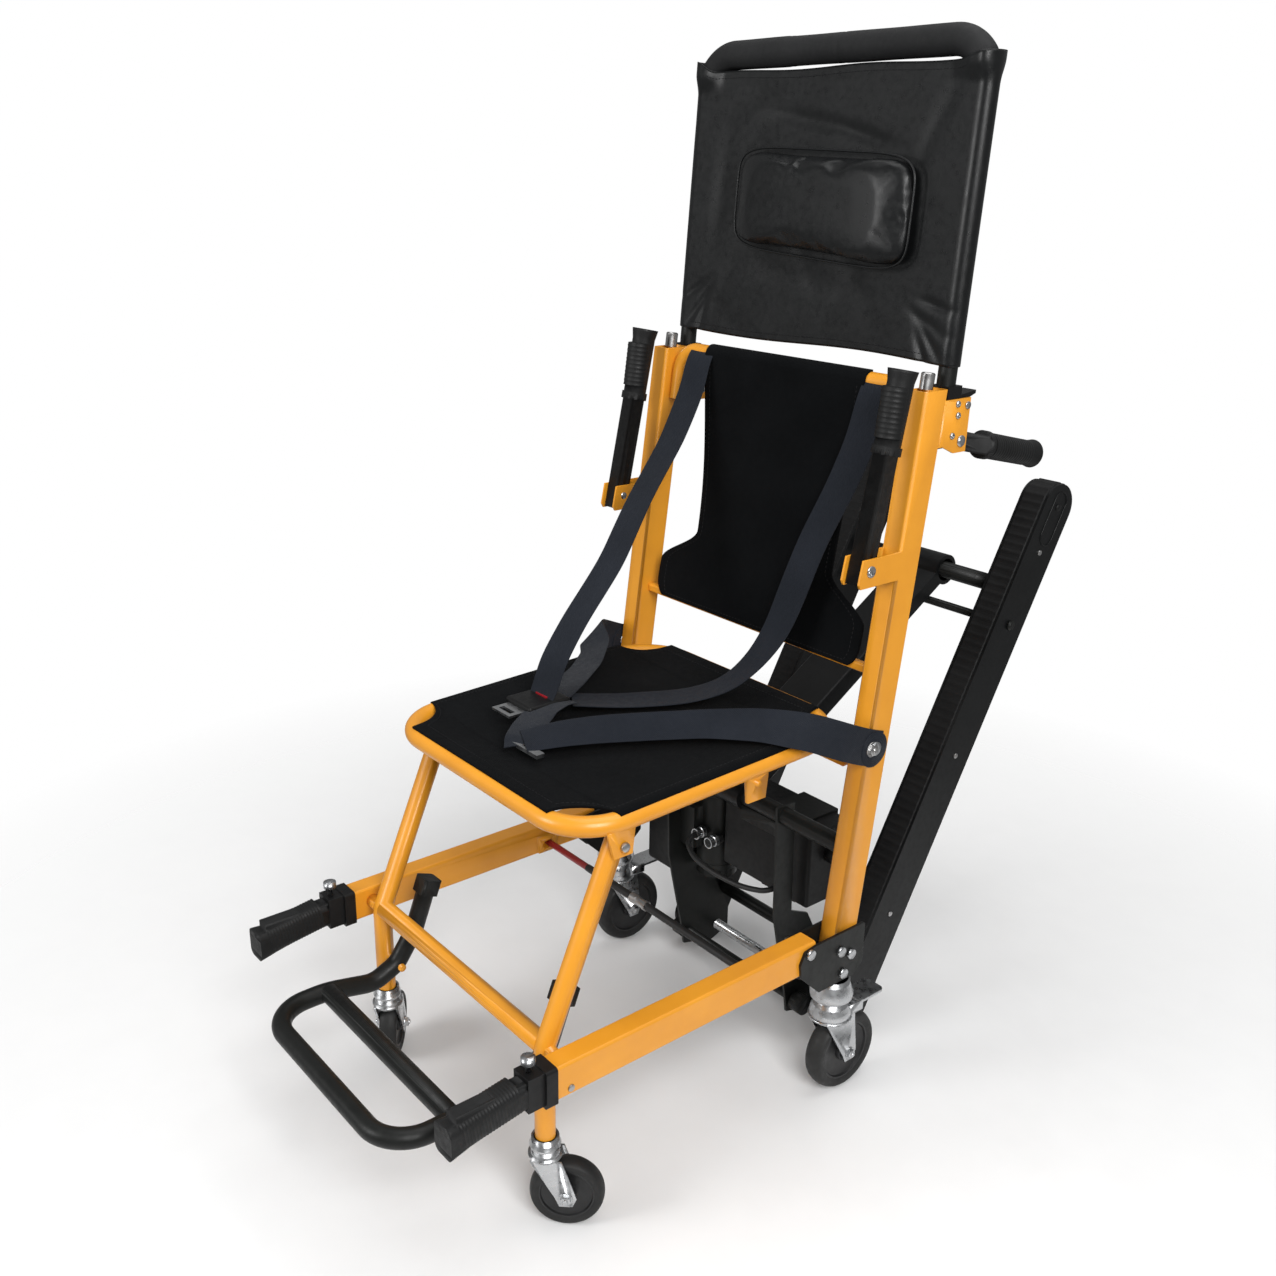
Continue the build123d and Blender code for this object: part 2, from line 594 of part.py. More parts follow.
def thumb_plunger(side):
    """Spring plunger with a knob that locks a front handle."""
    base = RAIL_Z + HANDLE_H / 2 + GAP + 0.5
    top = RAIL_Z + COLLAR_H / 2 + PLUNGER_TRAVEL + 4
    pin = rod((FRAME_HALF, PLUNGER_Y, base), (FRAME_HALF, PLUNGER_Y, top), PLUNGER_R)
    knob = rod((FRAME_HALF, PLUNGER_Y, top), (FRAME_HALF, PLUNGER_Y, top + KNOB_H), KNOB_R)
    return sided(pin + knob, side)


def grip_handle(pivot, ring, tip, bar_w, bar_h, tail, flare_r):
    """Box bar from a pin to a stop ring, then a round grip with a flared end."""
    plane = lean_plane(pivot, ring, FRAME_HALF)
    to_ring = distance(pivot, ring)
    to_tip = distance(pivot, tip)
    bar = extrude(plane.offset(-tail) * RectangleRounded(bar_w, bar_h, SHEET), amount=to_ring + tail)
    if tail == 0:
        half = bar_w / 2 - EYE_INSET
        bar = bar + cross_rod(pivot, bar_h / 2 - EYE_INSET, FRAME_HALF - half, FRAME_HALF + half)
    collar = extrude(plane.offset(to_ring) * Circle(RING_R), amount=RING_LEN)
    flare = 14.0
    grip = extrude(plane.offset(to_ring + RING_LEN) * Circle(GRIP_R), amount=to_tip - to_ring - RING_LEN - flare)
    end = loft([plane.offset(to_tip - flare) * Circle(GRIP_R), plane.offset(to_tip) * Circle(flare_r)])
    bore = cross_rod(pivot, PIN_R + PIN_FIT, FRAME_HALF - bar_w, FRAME_HALF + bar_w)
    return fused(bar, collar, grip, end) - bore


def armrest(side):
    """Armrest, stored folded up in front of its upright."""
    slope = (ARM_RING[0] - ARM_PIVOT[0]) / (ARM_RING[1] - ARM_PIVOT[1])
    tip = (ARM_PIVOT[0] + slope * (ARM_TOP_Z - ARM_PIVOT[1]), ARM_TOP_Z)
    return sided(grip_handle(ARM_PIVOT, ARM_RING, tip, ARM_W, ARM_DEPTH, ARM_TAIL, GRIP_FLARE_R), side)


def rear_handle(side):
    """Rear lifting handle that folds down from its bracket."""
    return sided(grip_handle(REAR_PIVOT, REAR_RING, REAR_TIP, REAR_BAR_W, REAR_BAR_H, 0, GRIP_FLARE_R), side)


def release_lever(side):
    """Thumb lever on top of the rear bracket."""
    outline = ((126.0, 946.0), (133.0, 938.0), (141.0, 938.0), (146.0, 949.0), (158.0, 953.0), (158.0, 957.0),
               (143.0, 955.0), (126.0, 953.0))
    plate = side_plate(outline, FRAME_HALF - LEVER_W / 2, FRAME_HALF + LEVER_W / 2)
    return sided(plate - cross_rod(LEVER_PIN, LEVER_PIN_R + PIN_FIT, FRAME_HALF - LEVER_W, FRAME_HALF + LEVER_W), side)


# ================================================================ headrest
def head_y(z):
    """Centre of the headrest tube at a height."""
    share = (z - HEAD_BASE[1]) / (HEAD_TOP[1] - HEAD_BASE[1])
    return HEAD_BASE[0] + share * (HEAD_TOP[0] - HEAD_BASE[0])


def headrest_tube():
    """Tall U of tube that slides behind the uprights."""
    return bent_tube(headrest_route(), HEAD_BEND_R, HEAD_R)


def headrest_route():
    """Corner points of the headrest tube, from foot to foot."""
    foot_y = head_y(HEAD_BOTTOM_Z)
    return [(-HEAD_X, foot_y, HEAD_BOTTOM_Z), (-HEAD_X, HEAD_TOP[0], HEAD_TOP[1]),
            (HEAD_X, HEAD_TOP[0], HEAD_TOP[1]), (HEAD_X, foot_y, HEAD_BOTTOM_Z)]


def foam_grip():
    """Foam sleeve round the top of the headrest tube and most of its bends."""
    sleeve = bent_tube(headrest_route(), HEAD_BEND_R, FOAM_R, wall=FOAM_R - HEAD_R - PIN_FIT)
    reach = HEAD_X + 2 * FOAM_R
    window = block((-reach, HEAD_TOP[0] - reach, FOAM_END_Z), (reach, HEAD_TOP[0] + reach, HEAD_TOP[1] + reach))
    return sleeve & window


def headrest_cover():
    """Soft cover stretched across the headrest tubes, as a thin closed slab in front of them."""
    y0, y1 = head_y(COVER_BOTTOM_Z), head_y(COVER_TOP_Z)
    back = HEAD_R + COVER_SKIN
    front = back + COVER_T
    outline = ((y0 - front, COVER_BOTTOM_Z), (y0 - back, COVER_BOTTOM_Z), (y1 - back, COVER_TOP_Z),
               (y1 - front, COVER_TOP_Z))
    return side_plate(outline, -COVER_HALF, COVER_HALF)


def head_pillow():
    """Small pad sewn on the front of the cover."""
    skin = HEAD_R + COVER_SKIN + COVER_T + GAP
    low = (head_y(PILLOW_BOTTOM_Z) - skin, PILLOW_BOTTOM_Z)
    high = (head_y(PILLOW_TOP_Z) - skin, PILLOW_TOP_Z)
    plane = Plane(origin=(0, low[0], low[1]), x_dir=(1, 0, 0),
                  z_dir=Vector(0, -(high[1] - low[1]), high[0] - low[0]))
    height = distance(low, high)
    outline = Polyline((-PILLOW_BOTTOM_HALF, 0), (PILLOW_BOTTOM_HALF, 0), (PILLOW_TOP_HALF, height),
                       (-PILLOW_TOP_HALF, height), close=True)
    pad = extrude(plane * make_face(outline), amount=PILLOW_T)
    return fillet(pad.faces().sort_by(Axis.Y)[0].edges(), PILLOW_T / 2)


def headrest_guides():
    """Blocks on the rear brackets that guide the headrest tubes."""
    blocks = []
    z0 = 950.5
    y = head_y(z0 + GUIDE_H / 2)
    for side in (1, -1):
        shape = block((FRAME_HALF - SECTION_W / 2 + 1, upright_y(UPRIGHT_TOP_Z) + UPRIGHT_DEPTH / 2 + GAP, z0),
                      (FRAME_HALF + SECTION_W / 2 - 1, y + HEAD_R + SHEET, z0 + GUIDE_H))
        bore = rod((HEAD_X, head_y(z0 - 5), z0 - 5), (HEAD_X, head_y(z0 + GUIDE_H + 5), z0 + GUIDE_H + 5), HEAD_R + 0.1)
        blocks.append(sided(shape - bore, side))
    return group(*blocks)


# ================================================================ casters
def caster_fork(wheel_r, wheel_w, trail, top_z, stem_len, race_r):
    """Fork in its own frame: stem on the origin's axis, wheel trailing towards +Y."""
    inner = wheel_w / 2 + FORK_GAP
    crown_z = 2 * wheel_r + 6.0
    outline = ((-race_r * 0.8, crown_z), (race_r, crown_z), (trail + 13, wheel_r), (trail + 8, wheel_r - 12),
               (trail - 8, wheel_r - 12), (trail - 13, wheel_r))
    plates = side_plate(outline, inner, inner + FORK_T) + side_plate(outline, -inner - FORK_T, -inner)
    crown = Pos(0, 0, crown_z + FORK_T / 2) * Cylinder(max(race_r, inner + FORK_T), FORK_T)
    race = Pos(0, 0, (crown_z + top_z) / 2) * Cylinder(race_r * 0.8, top_z - crown_z)
    stem = rod((0, 0, top_z - 1), (0, 0, top_z + stem_len), STEM_R)
    axle = cross_rod((trail, wheel_r), AXLE_R, -inner - FORK_T - BOLT_HEAD_H, inner + FORK_T + BOLT_HEAD_H)
    body = fused(plates, crown, race, stem, axle)
    return body


def caster_wheel(wheel_r, wheel_w, trail):
    """Tyre and hub with a running bore, on the axle of its fork."""
    at = Pos(0, trail, wheel_r) * Rot(0, 90, 0)
    tyre = Cylinder(wheel_r, wheel_w)
    tyre = fillet(tyre.edges(), wheel_w * 0.28)
    dish_depth = wheel_w * 0.22
    dish = Cylinder(wheel_r * 0.74, dish_depth) - Cylinder(wheel_r * 0.26, dish_depth)
    z = wheel_w / 2 - dish_depth / 2
    wheel = tyre - Pos(0, 0, z) * dish - Pos(0, 0, -z) * dish - Cylinder(AXLE_R + PIN_FIT, 2 * wheel_w)
    return at * wheel


def pedal_pivot():
    """(Y, Z) of the brake pedal's pin, in the rear fork's own frame."""
    return (38.0, 2 * REAR_WHEEL_R + 15.0)


def pedal_ears():
    """Two ears on the rear fork's crown and the pin of the brake pedal."""
    y, z = pedal_pivot()
    crown_z = 2 * REAR_WHEEL_R + 6.0
    x = PEDAL_W / 2 + GAP
    pin = cross_rod((y, z), PEDAL_PIN_R, -x - FORK_T, x + FORK_T)
    ears = pin
    for x0 in (x, -x - FORK_T):
        ears = ears + block((x0, 16.0, crown_z), (x0 + FORK_T, y + 6.0, z + 6.0))
    return ears


def brake_pedal():
    """Foot pedal that hinges on the rear fork's ears, in the fork's own frame."""
    y, z = pedal_pivot()
    plate = block((-PEDAL_W / 2, y, z - PEDAL_T / 2), (PEDAL_W / 2, PEDAL_REACH, z + PEDAL_T / 2))
    plate = fillet(plate.edges().filter_by(Axis.Z).sort_by(Axis.Y)[-2:], 8.0)
    barrel = cross_rod((y, z), PEDAL_PIN_R + SHEET, -PEDAL_W / 2, PEDAL_W / 2)
    return plate + barrel - cross_rod((y, z), PEDAL_PIN_R + PIN_FIT, -PEDAL_W, PEDAL_W)


def placed(shape, x, y, heading):
    """A caster piece set under its stem and turned to its heading."""
    return Pos(x, y, FLOOR_Z) * Rot(0, 0, heading) * shape


# ================================================================ tracks
def track_plane(x=0.0):
    """Plane at the drive axle whose Z runs up the track and whose X is the chair's X."""
    angle = math.radians(TRACK_ANGLE)
    return Plane(origin=(x, TRACK_AXLE[0], TRACK_AXLE[1]), x_dir=(1, 0, 0),
                 z_dir=(0, math.sin(angle), math.cos(angle)))


def track_point(along, x=0.0):
    """(Y, Z) of a point on the track's middle line."""
    angle = math.radians(TRACK_ANGLE)
    return (TRACK_AXLE[0] + along * math.sin(angle), TRACK_AXLE[1] + along * math.cos(angle))


def stadium(radius, x_low, x_high, start=0.0, end=TRACK_LENGTH):
    """A round-ended bar along the track, from x_low to x_high."""
    a = track_point(start)
    b = track_point(end)
    run = distance(a, b)
    plane = Plane(origin=(x_low, a[0], a[1]), x_dir=(0, b[0] - a[0], b[1] - a[1]), z_dir=(1, 0, 0))
    profile = Pos(run / 2, 0) * SlotOverall(run + 2 * radius, 2 * radius)
    return extrude(plane * profile, amount=x_high - x_low)


def track_beams():
    """Two track beams: side plates with a core between them, open at the rollers."""
    inner = TRACK_OUTER - TRACK_W
    core_r = TRACK_R - BELT_T - 2.0
    beams = []
    for side in (1, -1):
        plates = stadium(TRACK_PLATE_R, inner, inner + TRACK_PLATE_T)
        plates = plates + stadium(TRACK_PLATE_R, TRACK_OUTER - TRACK_PLATE_T, TRACK_OUTER)
        clear = 2 * TRACK_R
        core = track_plane(inner + TRACK_W / 2).offset(clear + 2) * Pos(0, 0, (TRACK_LENGTH - 2 * clear - 4) / 2)
        middle = core * Box(TRACK_W - TRACK_PLATE_T, 2 * core_r, TRACK_LENGTH - 2 * clear - 4)
        hollow = core * Box(TRACK_W - 2 * TRACK_PLATE_T - 2 * WALL, 2 * (core_r - WALL), TRACK_LENGTH)
        middle = middle - hollow
        axle_bore = cross_rod(TRACK_AXLE, DRIVE_AXLE_R + PIN_FIT, inner - 1, TRACK_OUTER + 1)
        idler_bore = cross_rod(track_point(TRACK_LENGTH), PIN_R + PIN_FIT, inner - 1, TRACK_OUTER + 1)
        beams.append(sided(plates + middle - axle_bore - idler_bore, side))
    return group(*beams)


def track_belts():
    """Two endless rubber belts round the beams."""
    inner = TRACK_OUTER - TRACK_W + TRACK_PLATE_T + GAP
    outer = TRACK_OUTER - TRACK_PLATE_T - GAP
    belts = []
    for side in (1, -1):
        ring = stadium(TRACK_R, inner, outer) - stadium(TRACK_R - BELT_T, inner - 1, outer + 1)
        belts.append(sided(ring, side))
    return group(*belts)


def track_cross_tubes():
    """Two tubes and the thin tie rod with its bolt heads, which join the beams."""
    inner = TRACK_OUTER - TRACK_W
    upper = cross_rod(track_point(TRACK_CROSS_AT), TUBE_R, -inner, inner)
    lower = cross_rod(track_point(TRACK_LOWER_AT), TUBE_R - WALL, -inner, inner)
    thin = cross_rod(track_point(TRACK_ROD_AT), TRACK_ROD_R, -inner, inner)
    heads = [cross_rod(track_point(TRACK_ROD_AT), BOLT_HEAD_R, side_low, side_low + BOLT_HEAD_H)
             for side_low in (TRACK_OUTER, -TRACK_OUTER - BOLT_HEAD_H)]
    return group(upper, lower, thin, *heads)


def drive_axle():
    """Axle with a sprocket at each end, inside the lower ends of the belts."""
    half = TRACK_OUTER + 2.0
    inner = TRACK_OUTER - TRACK_W + TRACK_PLATE_T + 1.0
    outer = TRACK_OUTER - TRACK_PLATE_T - 1.0
    radius = TRACK_R - BELT_T - ROLLER_FIT
    shaft = cross_rod(TRACK_AXLE, DRIVE_AXLE_R, -half, half)
    left = cross_rod(TRACK_AXLE, radius, inner, outer)
    return fused(shaft, left, flipped(left))


def track_idlers():
    """Upper rollers of the belts on their pins."""
    inner = TRACK_OUTER - TRACK_W + TRACK_PLATE_T + 1.0
    outer = TRACK_OUTER - TRACK_PLATE_T - 1.0
    radius = TRACK_R - BELT_T - ROLLER_FIT
    at = track_point(TRACK_LENGTH)
    left = cross_rod(at, radius, inner, outer)
    left = left + cross_rod(at, PIN_R, TRACK_OUTER - TRACK_W - 2, TRACK_OUTER + 2)
    return group(left, flipped(left))


# ================================================================ strut
def strut_plane():
    """Plane at the strut's foot whose Z runs up the strut."""
    return lean_plane(STRUT_BASE, track_point(TRACK_CROSS_AT))


def strut_housing():
    """Outer channel of the track strut, hung on the equipment tube."""
    plane = strut_plane()
    outer = extrude(plane * RectangleRounded(STRUT_W, STRUT_DEPTH, SHEET), amount=STRUT_HOUSING_LEN)
    hollow = extrude(plane.offset(STRUT_EYE_R + STRUT_WALL) * Rectangle(STRUT_W - 2 * STRUT_WALL,
                                                                       STRUT_DEPTH - 2 * STRUT_WALL),
                     amount=STRUT_HOUSING_LEN)
    eye = cross_rod(STRUT_BASE, STRUT_EYE_R, -STRUT_W / 2, STRUT_W / 2)
    bore = cross_rod(STRUT_BASE, EQUIPMENT_TUBE_R + PIN_FIT, -STRUT_W, STRUT_W)
    return (outer - hollow) + eye - bore


def strut_slider():
    """Inner bar of the track strut, with the eye round the upper cross tube."""
    plane = strut_plane()
    length = distance(STRUT_BASE, track_point(TRACK_CROSS_AT))
    width = STRUT_W - 2 * STRUT_WALL - 2 * GAP
    depth = STRUT_DEPTH - 2 * STRUT_WALL - 2 * GAP
    bar = extrude(plane.offset(STRUT_SLIDER_START) * Rectangle(width, depth), amount=length - STRUT_SLIDER_START)
    eye_r = TUBE_R + STRUT_EYE_FIT
    eye = cross_rod(track_point(TRACK_CROSS_AT), eye_r + 2 * STRUT_WALL, -width / 2, width / 2)
    bore = cross_rod(track_point(TRACK_CROSS_AT), eye_r, -STRUT_W, STRUT_W)
    return bar + eye - bore


# ================================================================ drive unit
def equipment_tube():
    """Cross tube between the uprights that carries the drive unit and the strut."""
    inner = FRAME_HALF - SECTION_W / 2
    return cross_rod(STRUT_BASE, EQUIPMENT_TUBE_R, -inner, inner) - cross_rod(
        STRUT_BASE, EQUIPMENT_TUBE_R - WALL, -inner, inner)


def drive_plates():
    """Two plates from the equipment tube down to the drive axle."""
    plate = side_plate(DRIVE_PLATE_OUTLINE, DRIVE_PLATE_X, DRIVE_PLATE_X + PLATE_T)
    plate = plate - cross_rod(STRUT_BASE, EQUIPMENT_TUBE_R, DRIVE_PLATE_X - 1, DRIVE_PLATE_X + PLATE_T + 1)
    plate = plate - cross_rod(TRACK_AXLE, DRIVE_AXLE_R + PIN_FIT, DRIVE_PLATE_X - 1, DRIVE_PLATE_X + PLATE_T + 1)
    plate = plate - cross_rod(TIE_ROD, TIE_ROD_R, DRIVE_PLATE_X - 1, DRIVE_PLATE_X + PLATE_T + 1)
    return group(plate, flipped(plate))


def tie_rod():
    """Lower tie rod through the drive plates, with a plastic buffer on each end."""
    rod_half = TIE_HALF - TIE_CAP_LEN
    shaft = cross_rod(TIE_ROD, TIE_ROD_R, -rod_half, rod_half)
    cap = cross_rod(TIE_ROD, TIE_CAP_R, rod_half, TIE_HALF)
    return fused(shaft, cap, flipped(cap))


def gearbox():
    """Gearbox casing outside the right drive plate."""
    case = block(*GEARBOX_BOX)
    return fillet(case.edges().filter_by(Axis.X), 10.0)


def drive_motor():
    """Upright motor with its mounting foot on the right drive plate."""
    x, y = MOTOR_AXIS
    can = rod((x, y, MOTOR_Z[0]), (x, y, MOTOR_Z[1]), MOTOR_R)
    foot = block((-DRIVE_PLATE_X, 12.0, 232.0), (x, y, 300.0))
    return can + foot


def battery_box():
    """Battery case with softened edges."""
    case = block(*BATTERY_BOX)
    return fillet(case.edges(), BATTERY_EDGE_R)


def charge_socket():
    """Round charging socket on the left end of the battery."""
    x = BATTERY_BOX[1][0]
    ring = cross_rod(SOCKET_AT, SOCKET_R, x, x + SOCKET_DEPTH + SHEET)
    return ring - cross_rod(SOCKET_AT, SOCKET_BORE_R, x + SHEET, x + SOCKET_DEPTH + SHEET + 1)


def battery_tray():
    """Folded sheet that hangs the battery from the equipment tube."""
    low, high = BATTERY_BOX
    y0 = -8.0
    tube_bottom = STRUT_BASE[1] - EQUIPMENT_TUBE_R
    top = high[2] + 0.5
    outline = ((y0, tube_bottom + 2), (y0, top), (high[1] + 0.5, top), (high[1] + 0.5, low[2] - 0.5),
               (low[1] + 6, low[2] - 0.5), (low[1] + 6, low[2] - 0.5 - SHEET), (high[1] + 0.5 + SHEET, low[2] - 0.5 - SHEET),
               (high[1] + 0.5 + SHEET, top + SHEET), (12.0, top + SHEET), (12.0, tube_bottom + 2))
    tray = side_plate(outline, low[0] + 78.0, high[0] - 28.0)
    return tray - cross_rod(STRUT_BASE, EQUIPMENT_TUBE_R, low[0], high[0])


def motor_cable():
    """Cable from the motor's plug to the battery, with its plug and gland."""
    x, y, z = CABLE_ROUTE[0]
    cable = bent_tube(CABLE_ROUTE, cable_radii(CABLE_ROUTE), CABLE_R, wall=0)
    plug = rod((x, y, z), (x, 30.2, z), PLUG_R)
    second = rod((x + 22, y + 6, z - 8), (x + 22, 40.0, z - 8), PLUG_R)
    return group(cable, plug, second)


def cable_radii(route):
    """The largest even bend for each inner corner of a cable's route."""
    radii = []
    for a, b, c in zip(route, route[1:], route[2:]):
        before = Vector(*b) - Vector(*a)
        after = Vector(*c) - Vector(*b)
        turn = math.radians(before.get_angle(after))
        radii.append(0.45 * min(before.length, after.length) / math.tan(turn / 2))
    return radii


def release_rod():
    """Sprung rod across the rails that frees the fold lock."""
    inner = FRAME_HALF - SECTION_W / 2
    return cross_rod(RELEASE_ROD, RELEASE_R, -inner + GAP, inner - GAP)


# ================================================================ harness
def ribbon(points, width_dir):
    """Flat webbing along a route of points, its width along width_dir, as one closed strip."""
    solids = None
    half = Vector(*width_dir).normalized() * (WEB_W / 2)
    for a, b in zip(points, points[1:]):
        a = Vector(*a)
        b = Vector(*b)
        along = (b - a).normalized()
        normal = along.cross(half).normalized() * (WEB_T / 2)
        corners = [a - half - normal, a + half - normal, a + half + normal, a - half + normal]
        face = make_face(Polyline(*[(c.X, c.Y, c.Z) for c in corners], close=True))
        piece = extrude(face, amount=(b - a).length + WEB_T / 2, dir=along)
        solids = piece if solids is None else solids + piece
    return solids


SHOULDER_LEFT = ((152.0, 58.0, 975.0), (149.0, 44.0, 885.0), (121.0, 22.0, 765.0), (88.0, -6.0, 640.0),
                 (62.0, -62.0, 562.0), (-16.0, -225.0, 543.0))
SHOULDER_RIGHT = ((-152.0, 58.0, 975.0), (-139.0, -4.0, 850.0), (-109.0, -126.0, 706.0), (-88.0, -206.0, 590.0),
                  (-84.0, -231.0, 548.0))
LAP_LEFT = ((252.6, 1.0, 521.0), (252.6, -44.0, 545.0), (216.0, -76.0, 563.0), (110.0, -160.0, 548.0),
            (24.0, -292.0, 541.0))
LAP_RIGHT = ((-252.6, 1.0, 521.0), (-252.6, -44.0, 545.0), (-216.0, -76.0, 563.0), (-120.0, -178.0, 548.0))


def shoulder_belts():
    """Two shoulder straps from the upper bar to the buckle."""
    return group(ribbon(SHOULDER_LEFT, (1, 0, 0)), ribbon(SHOULDER_RIGHT, (1, 0, 0)))


def lap_belts():
    """Two lap straps from the anchors on the uprights."""
    left = ribbon(LAP_LEFT[2:], (0.6, 0.8, 0)) + ribbon(LAP_LEFT[:3], (0, 0.3, 1))
    right = ribbon(LAP_RIGHT[2:], (-0.6, 0.8, 0)) + ribbon(LAP_RIGHT[:3], (0, 0.3, 1))
    return group(left, right)


BUCKLE_AT = (-84.0, -268.0, 543.0)
BUCKLE_SIZE = (56.0, 66.0, 16.0)
BUTTON_SIZE = (24.0, 15.0, 3.0)
BUTTON_TRAVEL = 2.5


def belt_buckle():
    """Buckle case lying on the seat, with a pocket for its button."""
    case = Pos(*BUCKLE_AT) * Box(*BUCKLE_SIZE)
    case = fillet(case.edges(), CORNER_R)
    pocket = Pos(*button_centre(-BUTTON_TRAVEL)) * Box(BUTTON_SIZE[0] + 2 * GAP, BUTTON_SIZE[1] + 2 * GAP,
                                                       BUTTON_SIZE[2] + 2 * BUTTON_TRAVEL)
    return case - pocket


def button_centre(lift=0.0):
    """Centre of the buckle's button, raised by a distance."""
    x, y, z = BUCKLE_AT
    return (x, y + 12.0, z + BUCKLE_SIZE[2] / 2 + lift)


def buckle_button():
    """Press button of the buckle."""
    return Pos(*button_centre()) * Box(*BUTTON_SIZE)


def belt_hardware():
    """Metal tongue at the buckle and the slider bar of the lap strap."""
    x, y, z = BUCKLE_AT
    front = y - BUCKLE_SIZE[1] / 2
    tongue = block((x - 20, front - 26, z - 1.5), (x + 20, front, z + 1.5))
    tongue = tongue - block((x - 13, front - 20, z - 3), (x + 13, front - 12, z + 3))
    slider = Pos(14.0, -352.0, 534.5) * Box(54.0, 12.0, 5.0)
    return group(tongue, slider)


# ================================================================ assembly
def build_parts():
    """Every node of the chair by name, before it is moved to its origin."""
    parts = {}
    for name, side in (("left", 1), ("right", -1)):
        parts[f"{name}_upright"] = upright(side)
        parts[f"{name}_rail"] = rail(side)
        parts[f"{name}_front_handle"] = front_handle(side)
        parts[f"{name}_thumb_plunger"] = thumb_plunger(side)
        parts[f"{name}_armrest"] = armrest(side)
        parts[f"{name}_rear_handle"] = rear_handle(side)
        parts[f"{name}_release_lever"] = release_lever(side)
        heading = LEFT_FRONT_HEADING if side > 0 else RIGHT_FRONT_HEADING
        front = (FRONT_STEM[0] * side, FRONT_STEM[1], -heading)
        rear = (FRAME_HALF * side, REAR_STEM_Y, 0.0)
        fork = caster_fork(FRONT_WHEEL_R, FRONT_WHEEL_W, FRONT_TRAIL, FRONT_TOP_Z - FLOOR_Z, STEM_LEN, 21.0)
        parts[f"{name}_front_fork"] = placed(fork, *front)
        parts[f"{name}_front_wheel"] = placed(caster_wheel(FRONT_WHEEL_R, FRONT_WHEEL_W, FRONT_TRAIL), *front)
        fork = caster_fork(REAR_WHEEL_R, REAR_WHEEL_W, REAR_TRAIL, REAR_TOP_Z - FLOOR_Z, STEM_LEN, 30.0)
        fork = fused(fork, pedal_ears())
        parts[f"{name}_rear_fork"] = placed(fork, *rear)
        parts[f"{name}_rear_wheel"] = placed(caster_wheel(REAR_WHEEL_R, REAR_WHEEL_W, REAR_TRAIL), *rear)
        parts[f"{name}_brake_pedal"] = placed(brake_pedal(), *rear)
    parts["rail_collars"] = group(rail_collar(1), rail_collar(-1))
    parts["hinge_plates"] = hinge_plates()
    parts["frame_bolts"] = frame_bolts()
    parts["lower_back_bar"] = lower_back_bar()
    parts["upper_back_bar"] = upper_back_bar()
    parts["back_panel"] = back_panel()
    parts["seat_frame"] = seat_frame()
    parts["seat_panel"] = seat_panel()
    parts["front_leg_frame"] = front_leg_frame()
    parts["footrest"] = footrest()
    parts["headrest_tube"] = headrest_tube()
    parts["foam_grip"] = foam_grip()
    parts["headrest_cover"] = headrest_cover()
    parts["head_pillow"] = head_pillow()
    parts["headrest_guides"] = headrest_guides()
    parts["track_beams"] = track_beams()
    parts["track_belts"] = track_belts()
    parts["track_cross_tubes"] = track_cross_tubes()
    parts["drive_axle"] = drive_axle()
    parts["track_idlers"] = track_idlers()
    parts["strut_housing"] = strut_housing()
    parts["strut_slider"] = strut_slider()
    parts["equipment_tube"] = fused(equipment_tube(), battery_tray())
    parts["drive_plates"] = drive_plates()
    parts["tie_rod"] = tie_rod()
    parts["gearbox"] = gearbox()
    parts["drive_motor"] = drive_motor()
    parts["battery_box"] = battery_box()
    parts["charge_socket"] = charge_socket()
    parts["motor_cable"] = motor_cable()
    parts["release_rod"] = release_rod()
    parts["shoulder_belts"] = shoulder_belts()
    parts["lap_belts"] = lap_belts()
    parts["belt_buckle"] = belt_buckle()
    parts["buckle_button"] = buckle_button()
    parts["belt_hardware"] = belt_hardware()
    return parts


def origin_shift(parts):
    """The move that puts the origin at the middle of the footprint, on the floor."""
    boxes = [shape.bounding_box() for shape in parts.values()]
    y_low = min(box.min.Y for box in boxes)
    y_high = max(box.max.Y for box in boxes)
    x_low = min(box.min.X for box in boxes)
    x_high = max(box.max.X for box in boxes)
    z_low = min(box.min.Z for box in boxes)
    return (-(x_low + x_high) / 2, -(y_low + y_high) / 2, -z_low)


def main():
    os.makedirs("parts", exist_ok=True)
    parts = build_parts()
    shift = origin_shift(parts)
    for name, shape in parts.items():
        export_step(Pos(*shift) * shape, f"parts/{name}.step")
    print("nodes", len(parts), "shift", [round(value, 3) for value in shift])


if __name__ == "__main__":
    main()
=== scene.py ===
"""Looks of a folding stair chair with powered tracks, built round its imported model."""

import json
import logging
import math
from dataclasses import dataclass
from enum import Enum

import bmesh
import bpy
import numpy as np
from mathutils import Matrix


